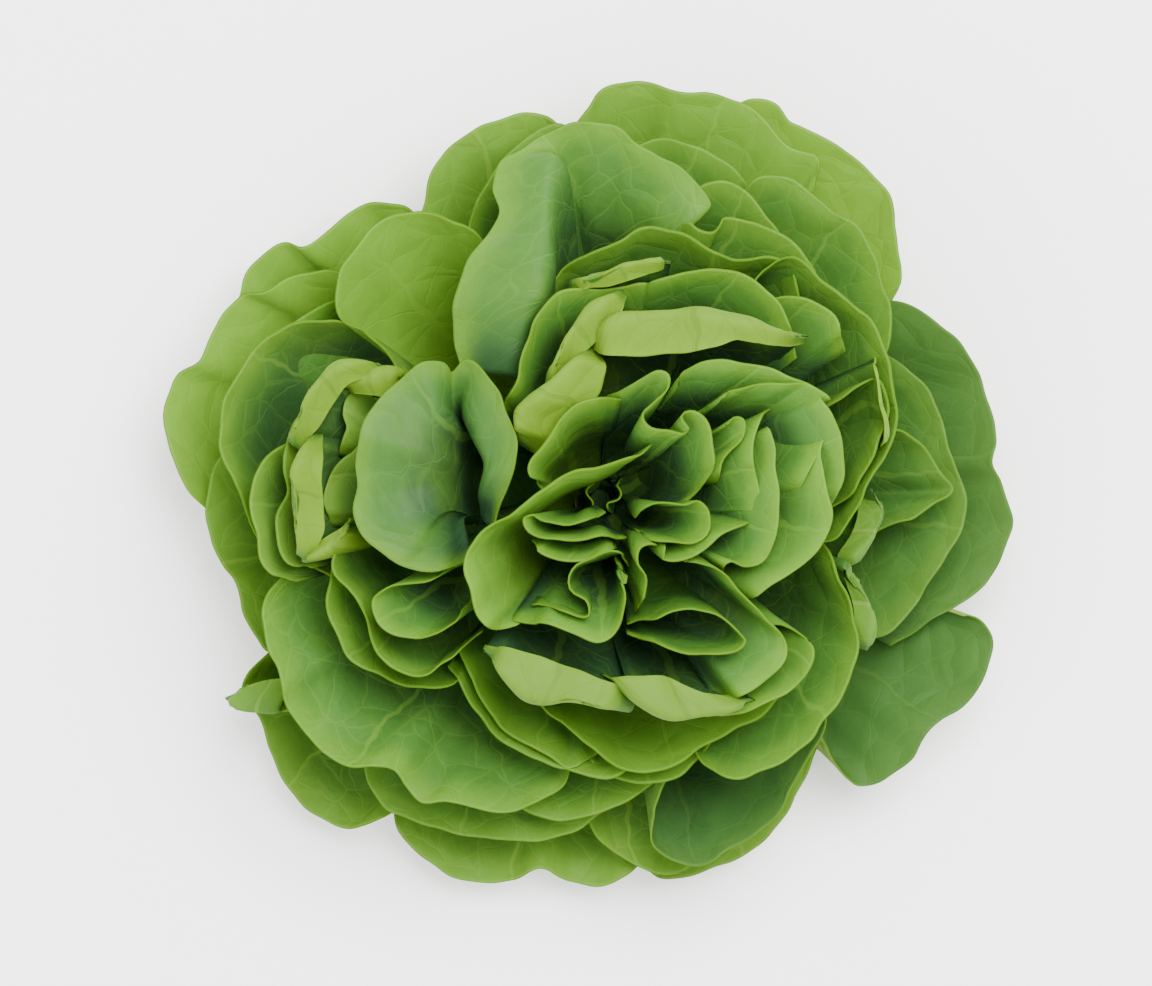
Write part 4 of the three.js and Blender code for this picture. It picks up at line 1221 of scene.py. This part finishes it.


# Upper sides: the deep colour and its reach (dark_from, dark_by) are mostly painted shade for the crevices
# between the leaves.
UPPER = {
    Zone.OUTER: BladeFinish(
        name="outer_upper_side",
        deep_and_shade=(0.025, 0.073, 0.015),
        flesh=(0.048, 0.128, 0.014),
        margin_and_light=(0.098, 0.212, 0.014),
        vein=(0.13, 0.24, 0.026),
        vein_strength=0.5, puff=0.2, roughness=0.55,
        dark_from=22.0, dark_by=75.0, margin_width=16.0,
    ),
    Zone.MIDDLE: BladeFinish(
        name="middle_upper_side",
        deep_and_shade=(0.018, 0.055, 0.014),
        flesh=(0.04, 0.117, 0.015),
        margin_and_light=(0.088, 0.195, 0.012),
        vein=(0.11, 0.22, 0.024),
        vein_strength=0.4, puff=0.16, roughness=0.55,
        dark_from=12.0, dark_by=50.0, margin_width=12.0,
    ),
    Zone.SIDE: BladeFinish(
        name="side_upper_side",
        deep_and_shade=(0.018, 0.055, 0.013),
        flesh=(0.05, 0.127, 0.014),
        margin_and_light=(0.096, 0.195, 0.014),
        vein=(0.12, 0.22, 0.029),
        vein_strength=0.3, puff=0.12, roughness=0.55,
        dark_from=4.0, dark_by=22.0, margin_width=8.0,
    ),
    Zone.HEART: BladeFinish(
        name="heart_upper_side",
        deep_and_shade=(0.012, 0.036, 0.012),
        flesh=(0.038, 0.116, 0.014),
        margin_and_light=(0.092, 0.2, 0.009),
        vein=(0.085, 0.19, 0.018),
        vein_strength=0.38, puff=0.14, roughness=0.52,
        dark_from=6.5, dark_by=24.0, margin_width=7.5,
    ),
}

# Undersides: the deep colour is the paler stem end on the outer leaves, and painted shade towards the stem
# on the others.
UNDER = {
    Zone.OUTER: BladeFinish(
        name="outer_underside",
        deep_and_shade=(0.14, 0.22, 0.043),
        flesh=(0.1, 0.19, 0.022),
        margin_and_light=(0.11, 0.2, 0.02),
        vein=(0.18, 0.27, 0.058),
        vein_strength=0.5, puff=0.26, roughness=0.6,
        dark_from=25.0, dark_by=80.0, margin_width=16.0,
    ),
    Zone.MIDDLE: BladeFinish(
        name="middle_underside",
        deep_and_shade=(0.042, 0.105, 0.011),
        flesh=(0.055, 0.13, 0.011),
        margin_and_light=(0.085, 0.185, 0.015),
        vein=(0.15, 0.25, 0.045),
        vein_strength=0.45, puff=0.22, roughness=0.6,
        dark_from=15.0, dark_by=50.0, margin_width=13.0,
    ),
    Zone.SIDE: BladeFinish(
        name="side_underside",
        deep_and_shade=(0.043, 0.11, 0.014),
        flesh=(0.072, 0.16, 0.014),
        margin_and_light=(0.086, 0.18, 0.014),
        vein=(0.1, 0.19, 0.025),
        vein_strength=0.35, puff=0.16, roughness=0.6,
        dark_from=4.0, dark_by=22.0, margin_width=8.0,
    ),
    Zone.HEART: BladeFinish(
        name="heart_underside",
        deep_and_shade=(0.014, 0.05, 0.0072),
        flesh=(0.043, 0.12, 0.011),
        margin_and_light=(0.072, 0.17, 0.013),
        vein=(0.072, 0.16, 0.014),
        vein_strength=0.35, puff=0.16, roughness=0.58,
        dark_from=4.0, dark_by=22.0, margin_width=6.5,
    ),
}

PALE_UNDER = BladeFinish(
    name="turned_underside",
    deep_and_shade=(0.043, 0.11, 0.012),
    flesh=(0.088, 0.168, 0.008),
    margin_and_light=(0.1, 0.188, 0.008),
    vein=(0.05, 0.105, 0.008),
    vein_strength=0.42, puff=0.24, roughness=0.6,
    dark_from=14.0, dark_by=30.0, margin_width=8.0,
)


# ---------------------------------------------------------------- blades


@dataclass(frozen=True)
class Ripple:
    """One size of wave along a rim, in millimetres, and how far down the blade it reaches."""

    length: float
    height: float
    reach: float


@dataclass(frozen=True)
class Swell:
    """Waves over a blade: their sizes across and up it, their height, and where they start."""

    across: float
    up: float
    height: float
    start: float
    full: float = 0.6


@dataclass(frozen=True)
class Tooth:
    """One size of unevenness of a rim: its length and height, and its share of the phase."""

    length: float
    height: float
    turn: float


RIPPLES = (Ripple(34.0, 1.0, 0.55), Ripple(15.0, 0.3, 0.3), Ripple(7.0, 0.06, 0.12))
BROAD = Swell(across=13.0, up=17.0, height=0.8, start=0.2)
PUFFS = Swell(across=4.1, up=4.7, height=0.16, start=0.25)
TEETH = (Tooth(1.9, 0.5, 1.0), Tooth(4.3, 0.7, 2.0))


@dataclass
class Blade:
    """One leaf made into a mesh. Lengths are millimetres, shares are of the rim or the blade."""

    leaf: Leaf
    sizes: HeadSizes
    order: int
    place: float
    thickness: float = 0.55
    coarse_points: int = 200
    column_step: float = 1.5
    fewest_columns: int = 24
    most_columns: int = 150
    row_step: float = 2.2
    fewest_rows: int = 26
    most_rows: int = 60
    row_crowding: float = 1.2
    tuck_share: float = 0.14
    side_shade_share: float = 0.12
    side_shade_from: float = 0.78
    teeth_from: float = 0.75
    teeth_height: float = 0.3
    phase_step: float = 2.4
    root_height: float = 30.0
    pattern_spacing: float = 400.0

    def base_arc(self, rim: np.ndarray) -> np.ndarray:
        """Where each column of the blade leaves the stem."""
        sizes = self.sizes
        middle = rim.mean(axis=0)
        bearing = math.atan2(middle[1], middle[0])
        low = sizes.lowest_leaf_height
        height = low + (sizes.stem_height - sizes.highest_leaf_drop - low) * self.place
        radius = sizes.stem_radius_at(height) + sizes.leaf_gap
        widest, narrowest = sizes.outer_petiole_width, sizes.inner_petiole_width
        width = widest + (narrowest - widest) * self.place
        half_angle = min(width / (2 * radius), sizes.widest_half_angle)
        angles = bearing + half_angle * (1 - 2 * np.linspace(0, 1, len(rim)))
        heights = np.full(len(rim), height)
        return np.column_stack([radius * np.cos(angles), radius * np.sin(angles), heights])

    def lattice(self) -> np.ndarray:
        """Points of the smooth blade, in millimetres, by column and row."""
        scale = self.sizes.scale
        stations = np.array(self.leaf.rim, dtype=float) * scale
        coarse = through(stations, np.linspace(0, 1, self.coarse_points))
        length = np.linalg.norm(np.diff(coarse, axis=0), axis=1).sum()
        columns = int(np.clip(length / self.column_step, self.fewest_columns, self.most_columns))
        reach = np.linalg.norm(coarse[len(coarse) // 2] - (0, 0, self.root_height))
        rows = int(np.clip(reach / self.row_step, self.fewest_rows, self.most_rows))
        places = np.linspace(0, 1, columns)
        rim = through(stations, places)
        fold = rim
        if self.leaf.fold:
            fold = through(np.array(self.leaf.fold, dtype=float) * scale, places)
        ends = 1 - smooth(0.0, self.tuck_share, np.minimum(places, 1 - places))
        dip = np.array([0.0, 0.0, -self.leaf.zone.tuck]) * ends[:, None]
        rim, fold = rim + dip, fold + dip
        along = 1 - (1 - np.linspace(0, 1, rows)) ** self.row_crowding
        return self.leaf.form.lines(self.base_arc(rim), rim, fold, along)

    @staticmethod
    def normals(points: np.ndarray) -> np.ndarray:
        """Upper-side normals of a lattice of points."""
        return unit(np.cross(np.gradient(points, axis=0), np.gradient(points, axis=1)))

    @staticmethod
    def lengths(points: np.ndarray) -> tuple[np.ndarray, np.ndarray, np.ndarray]:
        """Distances on a lattice, in millimetres.

        Args:
            points: The lattice, by column and row.

        Returns:
            Distance from the middle column, from the base, and from the rim.
        """
        steps = np.linalg.norm(np.diff(points, axis=0), axis=2)
        across = np.vstack([np.zeros((1, points.shape[1])), np.cumsum(steps, axis=0)])
        across -= across[points.shape[0] // 2]
        climbs = np.linalg.norm(np.diff(points, axis=1), axis=2)
        up = np.hstack([np.zeros((points.shape[0], 1)), np.cumsum(climbs, axis=1)])
        return across, up, up[:, -1:] - up

    def ruffled(self, points: np.ndarray) -> np.ndarray:
        """The blade with the waves and ripples of a soft leaf.

        Args:
            points: The smooth lattice, by column and row.

        Returns:
            The lattice moved along its normals and along the blade.
        """
        across, up, _ = self.lengths(points)
        share = up / np.maximum(up[:, -1:], 1e-6)
        edge = across[:, -1:]
        phase = self.phase_step * self.order
        lift = np.zeros_like(up)
        for number, ripple in enumerate(RIPPLES):
            drift = 1.3 * np.sin(edge / (2.7 * ripple.length) + phase * (number + 1))
            wave = np.sin(2 * math.pi * edge / ripple.length + drift + phase)
            lift += ripple.height * wave * smooth(1 - ripple.reach * 1.4, 1.0, share)
        broad = np.sin(across / BROAD.across + phase) * np.sin(up / BROAD.up + 1.7 * phase)
        lift += BROAD.height * broad * smooth(BROAD.start, BROAD.full, share)
        bend = 2 * np.sin(up / 9.0 + phase)
        puffs = np.sin(across / PUFFS.across + bend) * np.sin(up / PUFFS.up + phase)
        lift += PUFFS.height * puffs * smooth(PUFFS.start, PUFFS.full, share)
        teeth = sum(t.height * np.sin(edge / t.length + t.turn * phase) for t in TEETH)
        outward = unit(np.gradient(points, axis=1))
        stretch = (teeth * self.teeth_height * smooth(self.teeth_from, 1.0, share))[..., None]
        moved = points + lift[..., None] * self.normals(points) + stretch * outward
        moved[..., 2] = np.maximum(moved[..., 2], self.sizes.ground_gap)
        return moved

    def build(self, dress: tuple[bpy.types.Material, ...]) -> bpy.types.Object:
        """Model the leaf.

        Args:
            dress: Materials of the upper side, the underside and the edge.

        Returns:
            The finished leaf, its place in its mesh.
        """
        points = self.ruffled(self.lattice())
        columns, rows = points.shape[:2]
        bpy.ops.object.select_all(action="DESELECT")
        bpy.ops.mesh.primitive_grid_add(
            x_subdivisions=columns - 1, y_subdivisions=rows - 1, size=1.0, calc_uvs=True
        )
        piece = bpy.context.object
        piece.name = f"{self.leaf.name}_blade"
        mesh = piece.data
        mesh.name = piece.name
        flat = np.empty(len(mesh.vertices) * 3)
        mesh.vertices.foreach_get("co", flat)
        flat = flat.reshape(-1, 3)
        column = np.rint((flat[:, 0] + 0.5) * (columns - 1)).astype(int)
        row = np.rint((flat[:, 1] + 0.5) * (rows - 1)).astype(int)
        mesh.vertices.foreach_set("co", (points[column, row] * MM).ravel())
        self.mark(mesh, points, column, row)
        for material in dress:
            mesh.materials.append(material)
        self.thicken(piece)
        return piece

    def mark(
        self, mesh: bpy.types.Mesh, points: np.ndarray, column: np.ndarray, row: np.ndarray
    ) -> None:
        """Store blade coordinates, distances and the painted light and shade on the mesh.

        Args:
            mesh: The blade's mesh.
            points: Its lattice.
            column: Each vertex's column.
            row: Each vertex's row.
        """
        across, up, to_rim = self.lengths(points)
        share = np.linspace(0, 1, points.shape[1])[None, :] + 0 * up
        aside = np.linspace(0, 1, points.shape[0])[:, None] + 0 * up
        # Painted shade along the two side borders of the blade, fading out towards the rim, so the straight
        # side edges sit in shade under their neighbours.
        side_shade = 1 - smooth(0.0, self.side_shade_share, np.minimum(aside, 1 - aside))
        tone = self.leaf.tone - side_shade * (1 - smooth(self.side_shade_from, 1.0, share))
        for name, values in {"along": share, "to_rim": to_rim, "tone": tone}.items():
            layer = mesh.attributes.new(name, "FLOAT", "POINT")
            layer.data.foreach_set("value", values[column, row].ravel())
        mesh.uv_layers[0].name = "blade"
        corner = np.empty(len(mesh.loops), dtype=np.int32)
        mesh.loops.foreach_get("vertex_index", corner)
        shift = self.pattern_spacing * self.order
        pair = np.column_stack([across[column, row], up[column, row] + shift])[corner]
        mesh.uv_layers["blade"].data.foreach_set("uv", pair.ravel())

    def thicken(self, piece: bpy.types.Object) -> None:
        """Give the blade its thickness, towards its underside, and smooth shading."""
        solid = piece.modifiers.new("thickness", "SOLIDIFY")
        solid.thickness = self.thickness * MM
        solid.offset = -1.0
        solid.use_even_offset = False
        solid.material_offset = 1
        solid.material_offset_rim = 2
        bpy.ops.object.modifier_apply(modifier=solid.name)
        bpy.ops.object.shade_smooth()


@dataclass
class Rosette:
    """All the leaves of the head."""

    sizes: HeadSizes
    leaves: tuple[Leaf, ...]

    def build(self) -> None:
        """Model every leaf, dress it and put it in the frame."""
        upper = {zone: finish.board().material for zone, finish in UPPER.items()}
        under = {zone: finish.board().material for zone, finish in UNDER.items()}
        pale = PALE_UNDER.board().material
        edge = EdgeFinish().board().material
        for order, leaf in enumerate(self.leaves):
            place = order / (len(self.leaves) - 1)
            back = pale if leaf.is_pale else under[leaf.zone]
            piece = Blade(leaf, self.sizes, order, place).build((upper[leaf.zone], back, edge))
            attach(piece, "root")
            leaf.zone.slot
            if leaf.has_node:
                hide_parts(leaf.name)
            LOG.info("%s: %d faces", piece.name, len(piece.data.polygons))


@dataclass
class Stem:
    """The cut stem, turned as one body with a slightly uneven side and an eased cut edge."""

    sizes: HeadSizes
    sides: int = 48
    rings: int = 14
    lobes: int = 5
    lobe_height: float = 0.02
    lobe_twist: float = 6.0
    eased_edge: float = 0.8

    def build(self) -> None:
        """Model the stem, dress it and put it in the frame."""
        bpy.ops.object.select_all(action="DESELECT")
        bpy.ops.mesh.primitive_cylinder_add(
            vertices=self.sides, radius=1.0, depth=1.0, location=(0, 0, 0.5)
        )
        piece = bpy.context.object
        piece.name = "stem_body"
        bpy.ops.object.transform_apply(location=True, rotation=True, scale=True)
        bpy.ops.object.mode_set(mode="EDIT")
        for cut in range(1, self.rings):
            bpy.ops.mesh.select_all(action="SELECT")
            bpy.ops.mesh.bisect(
                plane_co=(0, 0, cut / self.rings), plane_no=(0, 0, 1), clear_inner=False
            )
        bpy.ops.object.mode_set(mode="OBJECT")
        for vertex in piece.data.vertices:
            height = vertex.co.z * self.sizes.stem_height
            angle = math.atan2(vertex.co.y, vertex.co.x)
            lobe = math.sin(self.lobes * angle + height / self.lobe_twist)
            radius = self.sizes.stem_radius_at(height) * (1 + self.lobe_height * lobe)
            radius -= self.eased_edge * (height < 0.1)
            spot = Vector((radius * math.cos(angle), radius * math.sin(angle), height))
            vertex.co = spot * MM
        piece.data.materials.append(StemFinish().board().material)
        bpy.ops.object.shade_smooth_by_angle(angle=math.radians(40))
        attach(piece, "root")
        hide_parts("stem")


# ---------------------------------------------------------------- studio


@dataclass(frozen=True)
class Lamp:
    """A soft square lamp: its place and side in metres, and its power in watts."""

    name: str
    place: Point
    side: float
    power: float
    aim: Point = (0.0, 0.0, 0.05)

    def build(self) -> None:
        """Put the lamp in the scene, facing the point it aims at."""
        bpy.ops.object.light_add(type="AREA", location=self.place)
        lamp = bpy.context.object
        lamp.name = self.name
        lamp.data.shape = "SQUARE"
        lamp.data.size = self.side
        lamp.data.energy = self.power
        away = Vector(self.place) - Vector(self.aim)
        lamp.rotation_mode = "QUATERNION"
        lamp.rotation_quaternion = away.to_track_quat("Z", "Y")


@dataclass
class Studio:
    """Floor, lights and camera. The view's sizes and the lens are in millimetres."""

    view_centre: tuple[float, float] = (-7.2, 2.1)
    view_width: float = 345.6
    view_height: float = 60.0
    lens: float = 300.0
    sensor: float = 36.0
    farthest: float = 20.0
    floor_side: float = 12.0
    surround: float = 2.05
    lamps: tuple[Lamp, ...] = (
        Lamp("key", (0.35, 0.5, 1.5), 1.0, 72.0),
        Lamp("fill", (-0.9, -0.7, 1.0), 1.2, 16.0),
    )

    def floor(self) -> None:
        """A wide pale floor."""
        bpy.ops.object.select_all(action="DESELECT")
        bpy.ops.mesh.primitive_plane_add(size=self.floor_side, location=(0, 0, 0))
        floor = bpy.context.object
        floor.name = "floor"
        floor.data.materials.append(FloorFinish().board().material)
        floor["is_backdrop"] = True

    def lights(self) -> None:
        """A large soft lamp overhead, a weaker one aside, and a pale surround."""
        for lamp in self.lamps:
            lamp.build()
        world = bpy.data.worlds.new("surround")
        bpy.context.scene.world = world
        world.use_nodes = True
        background = world.node_tree.nodes["Background"]
        background.inputs["Color"].default_value = (1.0, 1.0, 1.0, 1.0)
        background.inputs["Strength"].default_value = self.surround

    def camera(self) -> None:
        """A long lens that looks straight down on the head."""
        distance = self.view_width * self.lens / self.sensor
        height = (self.view_height + distance) * MM
        x, y = self.view_centre
        bpy.ops.object.camera_add(location=(x * MM, y * MM, height), rotation=(0, 0, 0))
        camera = bpy.context.object
        camera.data.lens = self.lens
        camera.data.sensor_width = self.sensor
        camera.data.clip_end = self.farthest
        bpy.context.scene.camera = camera

    def build(self) -> None:
        """Set up the whole studio."""
        self.floor()
        self.lights()
        self.camera()


# ---------------------------------------------------------------- main


def main() -> None:
    """Build the head around the frame."""
    logging.basicConfig(level=logging.INFO, format="%(name)s %(message)s")
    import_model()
    cad_low, cad_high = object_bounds()
    extent = (np.array(cad_high) - np.array(cad_low)) / MM
    sizes = HeadSizes(float(extent[0]), float(extent[1]), float(extent[2]))
    Stem(sizes).build()
    Rosette(sizes, LEAVES).build()
    Studio().build()
    low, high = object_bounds()
    report = {
        "cad": [list(cad_low), list(cad_high)],
        "visual": [list(low), list(high)],
    }
    LOG.info("cad box %s, visual box %s", report["cad"], report["visual"])


if __name__ == "__main__":
    main()
